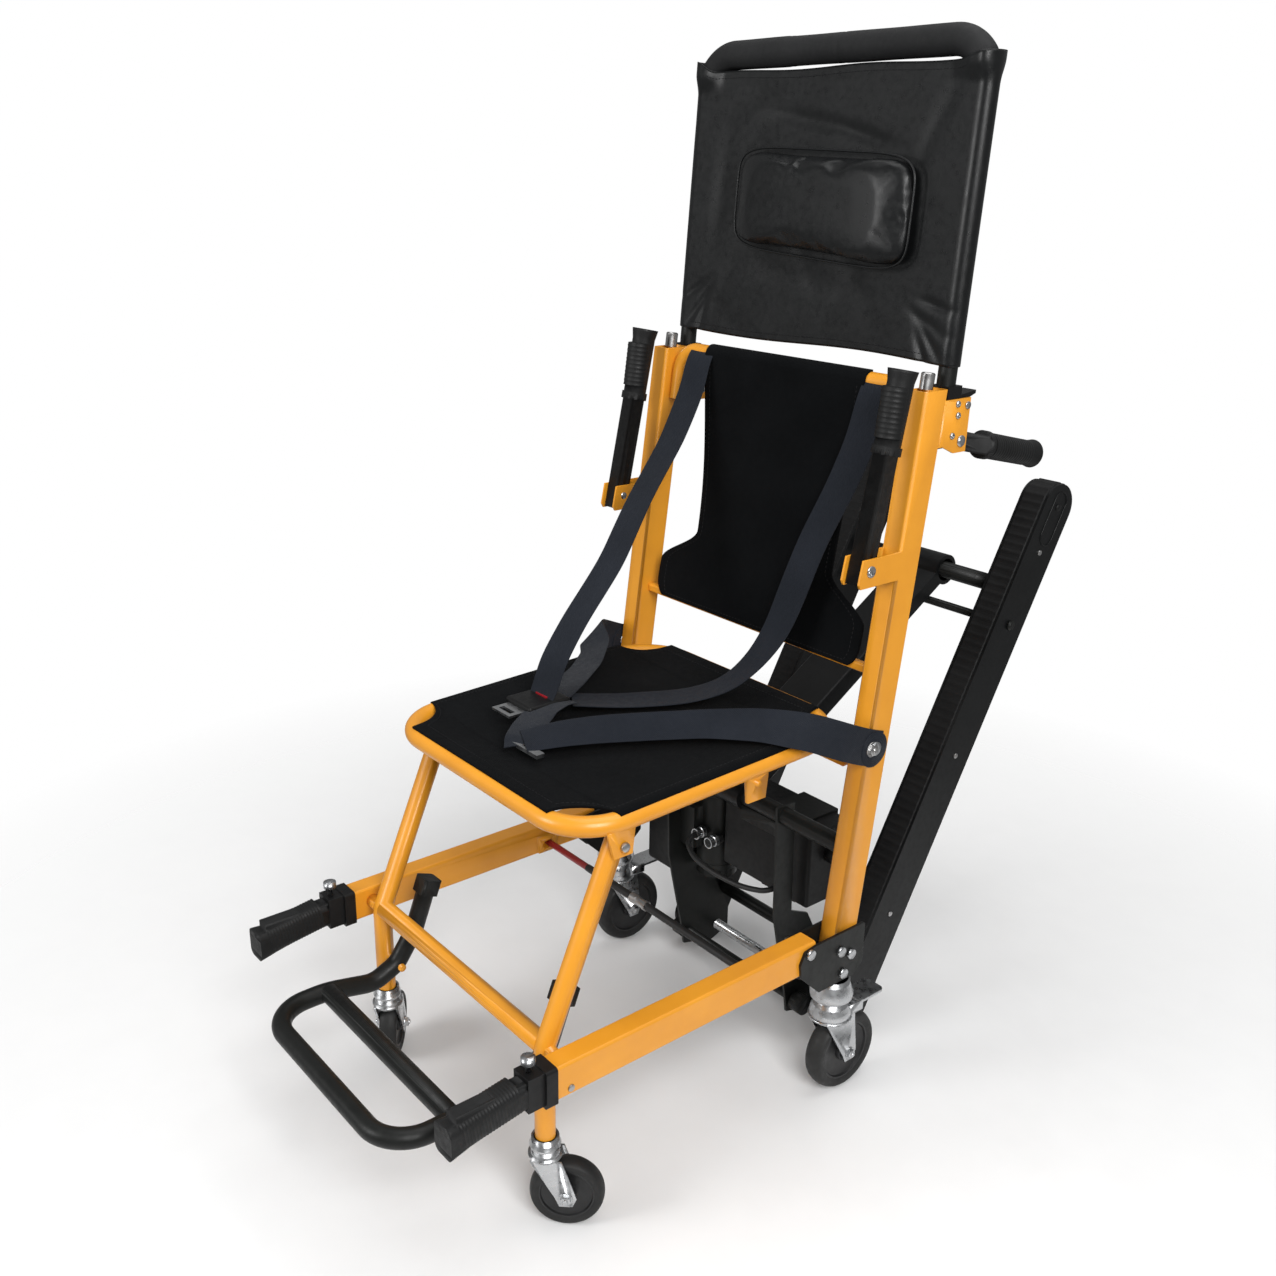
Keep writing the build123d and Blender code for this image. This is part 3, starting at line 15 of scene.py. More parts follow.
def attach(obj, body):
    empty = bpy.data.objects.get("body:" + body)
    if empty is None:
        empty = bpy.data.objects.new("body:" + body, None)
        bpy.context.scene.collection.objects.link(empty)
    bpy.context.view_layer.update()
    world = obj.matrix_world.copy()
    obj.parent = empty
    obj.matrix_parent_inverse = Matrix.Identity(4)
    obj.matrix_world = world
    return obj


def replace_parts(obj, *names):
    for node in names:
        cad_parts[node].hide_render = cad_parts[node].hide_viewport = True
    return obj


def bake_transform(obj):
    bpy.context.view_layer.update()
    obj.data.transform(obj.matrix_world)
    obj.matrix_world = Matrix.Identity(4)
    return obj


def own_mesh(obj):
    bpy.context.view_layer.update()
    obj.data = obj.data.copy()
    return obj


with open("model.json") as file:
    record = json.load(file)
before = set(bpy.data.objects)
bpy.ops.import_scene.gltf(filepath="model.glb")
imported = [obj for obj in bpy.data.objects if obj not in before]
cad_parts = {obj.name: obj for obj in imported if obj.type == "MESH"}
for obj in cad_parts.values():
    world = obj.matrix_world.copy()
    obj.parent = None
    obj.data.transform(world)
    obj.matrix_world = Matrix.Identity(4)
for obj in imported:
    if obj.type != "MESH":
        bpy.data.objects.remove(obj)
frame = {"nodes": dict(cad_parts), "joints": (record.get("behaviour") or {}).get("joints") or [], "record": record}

LOG = logging.getLogger("stair_chair")
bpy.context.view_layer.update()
MM = 0.001
Array = np.ndarray
Point = tuple[float, float, float]
Profile = list[tuple[float, float]]


# ---------------------------------------------------------------- the shared frame
@dataclass(frozen=True)
class Datum:
    """Turns the maker's millimetres into places in the shared frame."""

    dy: float
    dz: float

    @classmethod
    def from_hinge(cls, joint: str, known_y: float, known_z: float) -> "Datum":
        """Finds the move from a joint whose maker's place is known.

        Args:
            joint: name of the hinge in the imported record.
            known_y: its depth in maker's millimetres.
            known_z: its height in maker's millimetres.
        Returns:
            The datum.
        """
        place = next(j["pos_m"] for j in frame["joints"] if j["name"] == joint)
        return cls(place[1] - known_y * MM, place[2] - known_z * MM)

    def at(self, points: Array) -> Array:
        """Maker's millimetres as metres in the shared frame."""
        return np.asarray(points, float) * MM + np.array((0.0, self.dy, self.dz))


DATUM = Datum.from_hinge("rail_fold", -84.0, 258.0)


# ---------------------------------------------------------------- shapes as arrays
def unit(vectors: Array) -> Array:
    """Vectors divided by their lengths."""
    vectors = np.asarray(vectors, float)
    return vectors / np.maximum(np.linalg.norm(vectors, axis=-1, keepdims=True), 1e-9)


def along(points: Array) -> Array:
    """Distance travelled at each point of a line."""
    steps = np.linalg.norm(np.diff(points, axis=0), axis=1)
    return np.concatenate(([0.0], np.cumsum(steps)))


def smoothed(points: list[Point], count: int, rounds: int) -> Array:
    """A soft line through points: even steps along the straight runs, then averaged with its neighbours.

    Args:
        points: corners of the line.
        count: points wanted.
        rounds: how many times each point becomes a quarter, a half and a quarter of its neighbours.
    Returns:
        The line as an array of count rows.
    """
    corners = np.array(points, float)
    length = along(corners)
    steps = np.linspace(0.0, length[-1], count)
    line = np.stack([np.interp(steps, length, corners[:, k]) for k in range(corners.shape[1])], axis=1)
    for _ in range(rounds):
        line[1:-1] = 0.25 * line[:-2] + 0.5 * line[1:-1] + 0.25 * line[2:]
    return line


def frames_along(line: Array, across: Array) -> tuple[Array, Array]:
    """Side and face directions of a swept profile: across squared to the line, then the cross product."""
    tangent = unit(np.gradient(line, axis=0))
    across = np.broadcast_to(np.asarray(across, float), line.shape)
    side = unit(across - (across * tangent).sum(1, keepdims=True) * tangent)
    return side, np.cross(tangent, side)


def circle_profile(radius: float, sides: int) -> Array:
    """A circle as (side, face) pairs."""
    turn = np.linspace(0.0, 2.0 * math.pi, sides, endpoint=False)
    return np.stack((np.cos(turn), np.sin(turn)), axis=1) * radius


def strap_profile(width: float, thick: float, count: int) -> Array:
    """A flat strap's section: a slim superellipse, so its edges are round and its faces are flat."""
    turn = np.linspace(0.0, 2.0 * math.pi, 2 * count, endpoint=False)
    x = np.sign(np.cos(turn)) * np.abs(np.cos(turn)) ** 0.35
    y = np.sign(np.sin(turn)) * np.abs(np.sin(turn)) ** 0.35
    return np.stack((x * width / 2.0, y * thick / 2.0), axis=1)


def bump_at(x: Array, centre: float, width: float) -> Array:
    """A bell curve of height one."""
    return np.exp(-(((x - centre) / width) ** 2))


def ease(x: Array, low: float, high: float) -> Array:
    """Smooth step from nought at low to one at high."""
    t = np.clip((np.asarray(x, float) - low) / (high - low), 0.0, 1.0)
    return t * t * (3.0 - 2.0 * t)


class Shell:
    """Gathers grids into one mesh piece."""

    def __init__(self) -> None:
        """Starts empty."""
        self.points: list[Array] = []
        self.faces: list[Array] = []
        self.maps: list[Array] = []
        self.count = 0

    def grid(self, points: Array, closed: tuple[bool, bool] = (False, False), caps: bool = False,
             spacing: tuple[Array, Array] | None = None) -> "Shell":
        """Adds a grid of points as four-sided faces.

        Args:
            points: rows by columns by three, in maker's millimetres.
            closed: whether the rows, and the columns, join up in a ring.
            caps: whether each end row is closed with a fan to its middle.
            spacing: distances down the rows and along the columns, for the cloth map.
        Returns:
            The shell itself.
        """
        rows, columns = points.shape[:2]
        index = np.arange(rows * columns).reshape(rows, columns) + self.count
        down, over = spacing if spacing else (along(points[:, 0]), along(points[0]))
        if closed[0]:
            index = np.vstack((index, index[:1]))
            down = np.append(down, down[-1] + (down[-1] - down[-2]))
        if closed[1]:
            index = np.hstack((index, index[:, :1]))
            over = np.append(over, over[-1] + (over[-1] - over[-2]))
        uv = np.stack(np.meshgrid(down, over, indexing="ij"), axis=-1) * MM
        corners = (slice(None, -1), slice(None, -1)), (slice(1, None), slice(None, -1))
        corners += (slice(1, None), slice(1, None)), (slice(None, -1), slice(1, None))
        self.faces.append(np.stack([index[c] for c in corners], axis=-1).reshape(-1, 4))
        self.maps.append(np.stack([uv[c] for c in corners], axis=-2).reshape(-1, 4, 2))
        self.points.append(points.reshape(-1, 3))
        self.count += rows * columns
        if caps:
            self.cap(points[0], index[0, :columns], uv[0, :columns], False)
            self.cap(points[-1], index[rows - 1, :columns], uv[rows - 1, :columns], True)
        return self

    def cap(self, ring: Array, index: Array, uv: Array, forward: bool) -> None:
        """Closes a ring with three-sided faces to its middle."""
        self.points.append(ring.mean(0)[None])
        middle = np.full(len(index), self.count)
        self.count += 1
        following = np.roll(index, -1)
        order = (index, following, middle) if forward else (following, index, middle)
        self.faces.append(np.stack(order, axis=-1))
        self.maps.append(np.stack((uv, np.roll(uv, -1, 0), np.broadcast_to(uv.mean(0), uv.shape)), axis=1))

    def sweep(self, line: Array, profile: Array, across: Array = (1.0, 0.0, 0.0), scale: Array | None = None,
              closed: bool = False) -> "Shell":
        """Carries a profile along a line: point + side times its first number + face times its second."""
        side, face = frames_along(line, across)
        size = np.ones(len(line)) if scale is None else scale
        ring = profile[None] * size[:, None, None]
        grid = line[:, None] + ring[..., :1] * side[:, None] + ring[..., 1:] * face[:, None]
        round_it = along(np.vstack((profile, profile[:1])))[:-1]
        return self.grid(grid, (closed, True), not closed, (along(line), round_it))

    def turned(self, profile: Profile, centre: Point, axis: Point, sides: int = 32) -> "Shell":
        """Turns a profile of (radius, height) pairs about an axis through centre."""
        way = unit(np.array(axis, float))
        first = unit(np.cross(way, (0.31, 0.87, 0.38)))
        second = np.cross(way, first)
        turn = np.linspace(0.0, 2.0 * math.pi, sides, endpoint=False)
        ring = np.cos(turn)[:, None] * first + np.sin(turn)[:, None] * second
        shape = np.array(profile, float)
        grid = np.array(centre, float) + shape[:, None, 1:] * way + shape[:, None, :1] * ring[None]
        return self.grid(grid, (False, True))

    def piece(self, name: str, finish: "Finish", body: str, slot: str, crease: float = 40.0,
              welded: bool = True) -> bpy.types.Object:
        """Makes the gathered grids one object that rides on a body.

        Args:
            name: the piece's name.
            finish: its surface finish.
            body: the body it moves with.
            slot: the record's material slot; not used.
            crease: edges that turn more than this many degrees stay sharp.
            welded: whether doubles are merged and normals made to point outwards.
        Returns:
            The object.
        """
        mesh = bpy.data.meshes.new(name)
        corners = [row for block in self.faces for row in block.tolist()]
        mesh.from_pydata(DATUM.at(np.vstack(self.points)).tolist(), [], corners)
        uv = mesh.uv_layers.new(name="cloth")
        uv.data.foreach_set("uv", np.concatenate([m.reshape(-1) for m in self.maps]))
        if welded:
            weld(mesh)
        return present(name, mesh, finish, body, crease)


def weld(mesh: bpy.types.Mesh, flat: bool = False) -> None:
    """Merges doubles, joins flat triangles where asked, and turns all faces outwards."""
    work = bmesh.new()
    work.from_mesh(mesh)
    bmesh.ops.remove_doubles(work, verts=work.verts, dist=2e-6)
    if flat:
        bmesh.ops.dissolve_limit(work, angle_limit=math.radians(0.6), verts=work.verts, edges=work.edges)
    bmesh.ops.recalc_face_normals(work, faces=work.faces)
    work.to_mesh(mesh)
    work.free()


def present(name: str, mesh: bpy.types.Mesh, finish: "Finish", body: str,
            crease: float = 40.0) -> bpy.types.Object:
    """Links a mesh as a smooth piece with its finish and body."""
    mesh.polygons.foreach_set("use_smooth", np.ones(len(mesh.polygons), bool))
    mesh.set_sharp_from_angle(angle=math.radians(crease))
    piece = bpy.data.objects.new(name, mesh)
    bpy.context.scene.collection.objects.link(piece)
    mesh.materials.append(finish.material())
    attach(piece, body)
    LOG.info("piece %s on %s, %d faces", name, body, len(mesh.polygons))
    return piece


# ---------------------------------------------------------------- finishes
class Grain(Enum):
    """What the surface is, close up."""

    COAT = "powder coat"
    METAL = "plated metal"
    PLASTIC = "moulded plastic"
    RUBBER = "rubber"
    FOAM = "closed-cell foam"
    WEAVE = "woven cloth"
    LEATHER = "coated leather"
    WEBBING = "woven webbing"


MADE: dict[str, bpy.types.Material] = {}


@dataclass(frozen=True)
class Finish:
    """A surface finish and the numbers it is mixed from."""

    name: str
    colour: tuple[float, float, float]
    worn: tuple[float, float, float]
    grain: Grain
    rough: float
    rough_spread: float = 0.1
    metallic: float = 0.0
    coat: float = 0.0
    sheen: float = 0.0
    specular: float = 0.5
    scale: float = 900.0
    relief: float = 0.15

    def material(self) -> bpy.types.Material:
        """The material, made once."""
        if self.name not in MADE:
            MADE[self.name] = self.mix()
        return MADE[self.name]

    def mix(self) -> bpy.types.Material:
        """Lays the nodes: cloudy colour, uneven roughness and a bump for the grain."""
        material = bpy.data.materials.new(self.name)
        material.use_nodes = True
        tree = material.node_tree
        shader = tree.nodes["Principled BSDF"]
        shader.inputs["Metallic"].default_value = self.metallic
        shader.inputs["Coat Weight"].default_value = self.coat
        shader.inputs["Coat Roughness"].default_value = 0.2
        shader.inputs["Sheen Weight"].default_value = self.sheen
        shader.inputs["Sheen Roughness"].default_value = 0.4
        shader.inputs["Specular IOR Level"].default_value = self.specular
        place = tree.nodes.new("ShaderNodeTexCoord")
        clouds = self.noise(tree, place.outputs["Object"], 14.0, 5.0)
        scuffs = self.noise(tree, place.outputs["Object"], 120.0, 3.0)
        blend = tree.nodes.new("ShaderNodeMix")
        blend.data_type = "RGBA"
        blend.inputs["A"].default_value = (*self.colour, 1.0)
        blend.inputs["B"].default_value = (*self.worn, 1.0)
        tree.links.new(self.spread(tree, clouds, 0.35, 0.75, 0.0, 1.0), blend.inputs["Factor"])
        tree.links.new(blend.outputs["Result"], shader.inputs["Base Color"])
        tree.links.new(self.spread(tree, scuffs, 0.3, 0.7, self.rough - self.rough_spread,
                                   self.rough + self.rough_spread), shader.inputs["Roughness"])
        bump = tree.nodes.new("ShaderNodeBump")
        bump.inputs["Strength"].default_value = self.relief
        bump.inputs["Distance"].default_value = 0.0006
        tree.links.new(self.height(tree, place), bump.inputs["Height"])
        tree.links.new(bump.outputs["Normal"], shader.inputs["Normal"])
        return material

    def height(self, tree: bpy.types.NodeTree, place: bpy.types.Node) -> bpy.types.NodeSocket:
        """The grain's height: cells for leather and foam, crossed waves for cloth, noise for the rest."""
        if self.grain in (Grain.LEATHER, Grain.FOAM):
            cells = tree.nodes.new("ShaderNodeTexVoronoi")
            cells.inputs["Scale"].default_value = self.scale
            tree.links.new(place.outputs["Object"], cells.inputs["Vector"])
            return cells.outputs["Distance"]
        if self.grain in (Grain.WEAVE, Grain.WEBBING):
            total = tree.nodes.new("ShaderNodeMath")
            total.operation = "MAXIMUM" if self.grain is Grain.WEAVE else "ADD"
            for slot, way in enumerate(("X", "Y") if self.grain is Grain.WEAVE else ("X", "DIAGONAL")):
                wave = tree.nodes.new("ShaderNodeTexWave")
                wave.bands_direction = way
                wave.inputs["Scale"].default_value = self.scale * (1.0 if slot == 0 else 0.8)
                wave.inputs["Distortion"].default_value = 0.4
                tree.links.new(place.outputs["UV"], wave.inputs["Vector"])
                tree.links.new(wave.outputs["Fac"], total.inputs[slot])
            return total.outputs[0]
        return self.noise(tree, place.outputs["Object"], self.scale, 3.0)

    @staticmethod
    def noise(tree: bpy.types.NodeTree, vector: bpy.types.NodeSocket, scale: float,
              detail: float) -> bpy.types.NodeSocket:
        """A noise of a given scale."""
        node = tree.nodes.new("ShaderNodeTexNoise")
        node.inputs["Scale"].default_value = scale
        node.inputs["Detail"].default_value = detail
        tree.links.new(vector, node.inputs["Vector"])
        return node.outputs["Fac"]

    @staticmethod
    def spread(tree: bpy.types.NodeTree, value: bpy.types.NodeSocket, low: float, high: float, to_low: float,
               to_high: float) -> bpy.types.NodeSocket:
        """A value moved from one range to another."""
        node = tree.nodes.new("ShaderNodeMapRange")
        for socket, number in zip(("From Min", "From Max", "To Min", "To Max"), (low, high, to_low, to_high)):
            node.inputs[socket].default_value = number
        tree.links.new(value, node.inputs["Value"])
        return node.outputs["Result"]


YELLOW = Finish("yellow powder coat", (0.78, 0.325, 0.022), (0.70, 0.280, 0.018), Grain.COAT, 0.36,
                0.06, coat=0.2, specular=0.4, scale=700.0, relief=0.08)
BLACK_COAT = Finish("black powder coat", (0.0062, 0.0068, 0.0062), (0.010, 0.0106, 0.010), Grain.COAT,
                    0.42, 0.08, specular=0.26, scale=800.0, relief=0.12)
ANODISED = Finish("black anodised", (0.0045, 0.0048, 0.0050), (0.0075, 0.0079, 0.0083), Grain.METAL,
                  0.38, 0.08, specular=0.2, scale=600.0, relief=0.05)
ZINC = Finish("bright zinc", (0.58, 0.59, 0.60), (0.42, 0.43, 0.44), Grain.METAL, 0.30, 0.08,
              metallic=1.0, scale=300.0, relief=0.08)
STEEL = Finish("bare steel", (0.50, 0.50, 0.50), (0.34, 0.33, 0.32), Grain.METAL, 0.34, 0.1,
               metallic=1.0, scale=260.0, relief=0.06)
PLASTIC = Finish("black moulded plastic", (0.005, 0.005, 0.0052), (0.008, 0.008, 0.0082), Grain.PLASTIC,
                 0.44, 0.08, specular=0.22, scale=1400.0, relief=0.25)
GRIP = Finish("grip rubber", (0.0065, 0.0067, 0.0068), (0.011, 0.0112, 0.0114), Grain.RUBBER, 0.52, 0.1,
              specular=0.26, scale=1100.0, relief=0.3)
FOAM = Finish("black foam", (0.008, 0.0082, 0.0088), (0.0125, 0.0128, 0.0135), Grain.FOAM, 0.70, 0.06,
              specular=0.3, scale=1200.0, relief=0.35)
BELT_RUBBER = Finish("track rubber", (0.006, 0.006, 0.0062), (0.011, 0.011, 0.0112), Grain.RUBBER, 0.62,
                     0.1, specular=0.18, scale=500.0, relief=0.3)
TYRE = Finish("tyre rubber", (0.007, 0.007, 0.007), (0.018, 0.018, 0.0175), Grain.RUBBER, 0.58, 0.1,
              specular=0.35, scale=420.0, relief=0.3)
HUB = Finish("hub plastic", (0.010, 0.010, 0.0105), (0.016, 0.016, 0.0165), Grain.PLASTIC, 0.45, 0.08,
             specular=0.4, scale=900.0, relief=0.2)
CLOTH = Finish("black cloth", (0.0030, 0.0034, 0.0039), (0.0048, 0.0053, 0.0060), Grain.WEAVE, 0.86,
               0.06, sheen=0.012, specular=0.05, scale=320.0, relief=0.6)
LEATHER = Finish("black coated leather", (0.0045, 0.0049, 0.0052), (0.0072, 0.0078, 0.0083),
                 Grain.LEATHER, 0.34, 0.07, coat=0.05, specular=0.28, scale=1500.0, relief=0.12)
WEBBING = Finish("slate webbing", (0.0095, 0.0120, 0.0175), (0.0135, 0.0165, 0.0235), Grain.WEBBING,
                 0.60, 0.08, sheen=0.05, specular=0.15, scale=260.0, relief=0.5)
THREAD = Finish("black thread", (0.008, 0.008, 0.009), (0.012, 0.012, 0.013), Grain.FOAM, 0.7, 0.05,
                specular=0.2, scale=2500.0, relief=0.3)
RED = Finish("red plastic", (0.30, 0.010, 0.016), (0.22, 0.008, 0.012), Grain.PLASTIC, 0.35, 0.06,
             coat=0.2, scale=700.0, relief=0.08)
CABLE = Finish("cable jacket", (0.008, 0.008, 0.008), (0.013, 0.013, 0.013), Grain.RUBBER, 0.5, 0.08,
               specular=0.4, scale=900.0, relief=0.15)
FLOOR = Finish("pale floor", (0.86, 0.86, 0.86), (0.84, 0.84, 0.84), Grain.COAT, 0.7, 0.05, scale=90.0,
               relief=0.02)

SLOT_FINISH = {
    "frame_yellow": YELLOW, "black_steel": BLACK_COAT, "black_alloy": ANODISED, "zinc": ZINC,
    "black_plastic": PLASTIC, "grip_rubber": GRIP, "foam": FOAM, "belt_rubber": BELT_RUBBER,
    "tyre_black": TYRE, "panel_fabric": CLOTH, "leather_black": LEATHER, "webbing": WEBBING,
    "red_lever": RED, "cable_jacket": CABLE,
}


# ---------------------------------------------------------------- frame and other hard nodes
@dataclass
class Metalwork:
    """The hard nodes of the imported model, smoothed and given their finishes."""

    soft: tuple[str, ...] = ("seat_panel", "back_panel", "headrest_cover", "head_pillow", "foam_grip",
                             "shoulder_belts", "lap_belts", "track_belts", "left_front_wheel",
                             "right_front_wheel", "left_rear_wheel", "right_rear_wheel")
    edge: float = 0.0006
    crease: float = 28.0
    edge_turn: float = 35.0
    boxed: tuple[str, ...] = ("rail_collars", "battery_box", "gearbox", "hinge_plates", "belt_buckle",
                              "lower_back_bar", "left_brake_pedal", "right_brake_pedal",
                              "headrest_guides")

    def build(self) -> None:
        """Makes a smooth copy of every hard node stand for it."""
        record = frame["record"]
        slots = {row["node"]: row["material_slot"] for row in record["subparts"]}
        bodies = {node: body for body, nodes in record["behaviour"]["bodies"].items() for node in nodes}
        for node, cad in frame["nodes"].items():
            finish = SLOT_FINISH[slots[node]]
            if node in self.soft:
                cad.data.materials.clear()
                cad.data.materials.append(finish.material())
                continue
            mesh = cad.data.copy()
            mesh.materials.clear()
            weld(mesh, flat=node in self.boxed)
            piece = present(node + "_body", mesh, finish, bodies[node], self.crease)
            if node in self.boxed:
                bevel = piece.modifiers.new("edge", "BEVEL")
                bevel.width = self.edge
                bevel.segments = 2
                bevel.limit_method = "ANGLE"
                bevel.angle_limit = math.radians(self.edge_turn)
            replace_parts(piece, node)


class Head(Enum):
    """Kinds of fastener."""

    DOME = "domed head with a hex socket"
    NUT = "hex nut on a washer"
    CAP = "small round cap"


@dataclass
class Fastener:
    """A bolt head, nut or cap on a face."""

    centre: Point
    axis: Point
    radius: float
    height: float
    head: Head = Head.DOME

    def add_to(self, shell: Shell) -> None:
        """Adds the fastener's turned surfaces to a shell."""
        r, h = self.radius, self.height
        if self.head is Head.NUT:
            shell.turned([(0, 0.25 * h), (1.25 * r, 0.25 * h), (1.3 * r, 0.12 * h), (1.3 * r, 0), (0, 0)],
                         self.centre, self.axis)
            shell.turned([(0, h), (0.82 * r, h), (r, 0.85 * h), (r, 0.2 * h), (0, 0.2 * h)],
                         self.centre, self.axis, 6)
            stud = [(0, 1.35 * h), (0.4 * r, 1.35 * h), (0.5 * r, 1.2 * h), (0.5 * r, 0.8 * h), (0, 0.8 * h)]
            shell.turned(stud, self.centre, self.axis, 20)
        elif self.head is Head.DOME:
            shell.turned([(0, 0.45 * h), (0.45 * r, 0.45 * h), (0.47 * r, 0.98 * h), (0.62 * r, 0.94 * h),
                          (0.85 * r, 0.72 * h), (r, 0.35 * h), (r, 0), (0, 0)], self.centre, self.axis, 24)
        else:
            shell.turned([(0, h), (0.6 * r, 0.97 * h), (0.9 * r, 0.75 * h), (r, 0.4 * h), (r, 0), (0, 0)],
                         self.centre, self.axis, 24)


@dataclass
class Fasteners:
    """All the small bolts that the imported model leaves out."""

    frame_x: float = 250.0

    def build(self) -> None:
        """Makes one piece of fasteners for each body that carries them."""
        x = self.frame_x
        back, legs, seat, tracks, rails = Shell(), Shell(), Shell(), Shell(), Shell()
        for side in (1.0, -1.0):
            out = (side, 0.0, 0.0)
            for y, z in ((118.0, 944.0), (120.0, 930.0), (112.0, 906.0)):
                Fastener((side * x, y, z), out, 4.2, 3.0).add_to(back)
            Fastener((side * x, -20.0, 756.0), out, 4.5, 3.0).add_to(back)
            Fastener((side * (x + 3.2), 7.0, 521.0), out, 8.0, 5.0, Head.NUT).add_to(back)
            Fastener((side * 202.0, -455.0, 236.0), out, 5.5, 4.0).add_to(legs)
            Fastener((side * 209.4, -356.0, 486.0), out, 6.0, 4.5, Head.CAP).add_to(seat)
            Fastener((side * 202.0, -455.0, 182.0), out, 5.0, 4.0).add_to(legs)
            for step in (150.0, 400.0, 720.0):
                place = Tracks().point(step, side * 177.0)
                Fastener(place, out, 4.0, 2.0, Head.CAP).add_to(tracks)
            Fastener((side * x, -462.0, 236.0), out, 4.5, 2.4, Head.CAP).add_to(rails)
        back.piece("frame_screws", STEEL, "back_frame", "zinc")
        legs.piece("leg_screws", STEEL, "front_legs", "zinc")
        seat.piece("seat_pins", STEEL, "seat", "zinc")
        tracks.piece("track_screws", STEEL, "tracks", "zinc")
        rails.piece("rail_screws", STEEL, "rails", "zinc")
        self.plugs()

    def plugs(self) -> None:
        """Grey tube ends that stand out of the uprights' tops."""
        shell = Shell()
        for side in (1.0, -1.0):
            shell.turned([(0, 20), (7.0, 20), (8.5, 18.5), (8.5, 0), (0, 0)], (side * 233.0, 76.5, 963.0),
                         (0.0, 0.126, 1.0), 28)
        shell.piece("upright_plugs", STEEL, "back_frame", "zinc")


# ---------------------------------------------------------------- casters
@dataclass
class Caster:
    """A swivel caster's wheel, ball race and nuts."""

    name: str
    stem: tuple[float, float]
    heading: float
    radius: float
    width: float
    trail: float
    race: float
    race_low: float
    race_top: float
    floor: float = 4.5

    def build(self) -> None:
        """Makes the wheel and the bright parts of the fork."""
        turn = math.radians(self.heading)
        middle = (self.stem[0] + self.trail * math.sin(turn), self.stem[1] + self.trail * math.cos(turn),
                  self.floor + self.radius)
        axle = (math.cos(turn), -math.sin(turn), 0.0)
        r, w = self.radius, self.width / 2.0
        tyre = Shell()
        rim = 0.74 * r
        turns = np.linspace(0.0, math.pi, 19)
        section = [(rim, -w * 0.86), (rim + 0.06 * r, -w * 0.98)]
        section += [(0.88 * r + 0.12 * r * math.sin(a), -w * math.cos(a)) for a in turns]
        section += [(rim + 0.06 * r, w * 0.98), (rim, w * 0.86), (rim - 0.4, 0.0), (rim, -w * 0.86)]
        tyre.turned(section, middle, axle, 72)
        wheel = tyre.piece(self.name + "_tyre", TYRE, self.name + "_wheel", "tyre_black")
        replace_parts(wheel, self.name + "_wheel")
        hub = Shell()
        half = [(0.12 * r, 0.98 * w), (0.24 * r, 0.98 * w), (0.26 * r, 0.9 * w), (0.27 * r, 0.55 * w),
                (0.62 * r, 0.5 * w), (0.68 * r, 0.62 * w), (0.70 * r, 0.84 * w), (rim, 0.86 * w)]
        whole = half + [(radius, -height) for radius, height in reversed(half)]
        hub.turned(whole + half[:1], middle, axle, 64)
        hub.piece(self.name + "_hub", HUB, self.name + "_wheel", "tyre_black")
        self.fittings(middle, axle)

    def fittings(self, middle: Point, axle: Point) -> None:
        """Ball race rings under the stem and the nut on each end of the axle."""
        shell = Shell()
        low, top, race = self.race_low, self.race_top, self.race
        rise = top - low
        profile = [(0, low - 3), (race * 1.08, low - 3), (race * 1.12, low - 1),
                   (race * 1.04, low + rise * 0.2), (race * 0.9, low + rise * 0.3),
                   (race * 0.9, low + rise * 0.42), (race * 1.1, low + rise * 0.5),
                   (race * 1.14, low + rise * 0.62), (race * 1.0, low + rise * 0.78),
                   (race * 0.84, top), (0, top)]
        shell.turned(profile, (self.stem[0], self.stem[1], 0.0), (0.0, 0.0, 1.0), 56)
        reach = self.width / 2.0 + 5.0
        for side in (1.0, -1.0):
            place = tuple(m + side * reach * a for m, a in zip(middle, axle))
            Fastener(place, tuple(side * a for a in axle), 6.6, 5.5, Head.NUT).add_to(shell)
        shell.piece(self.name + "_race", ZINC, self.name + "_fork", "zinc")


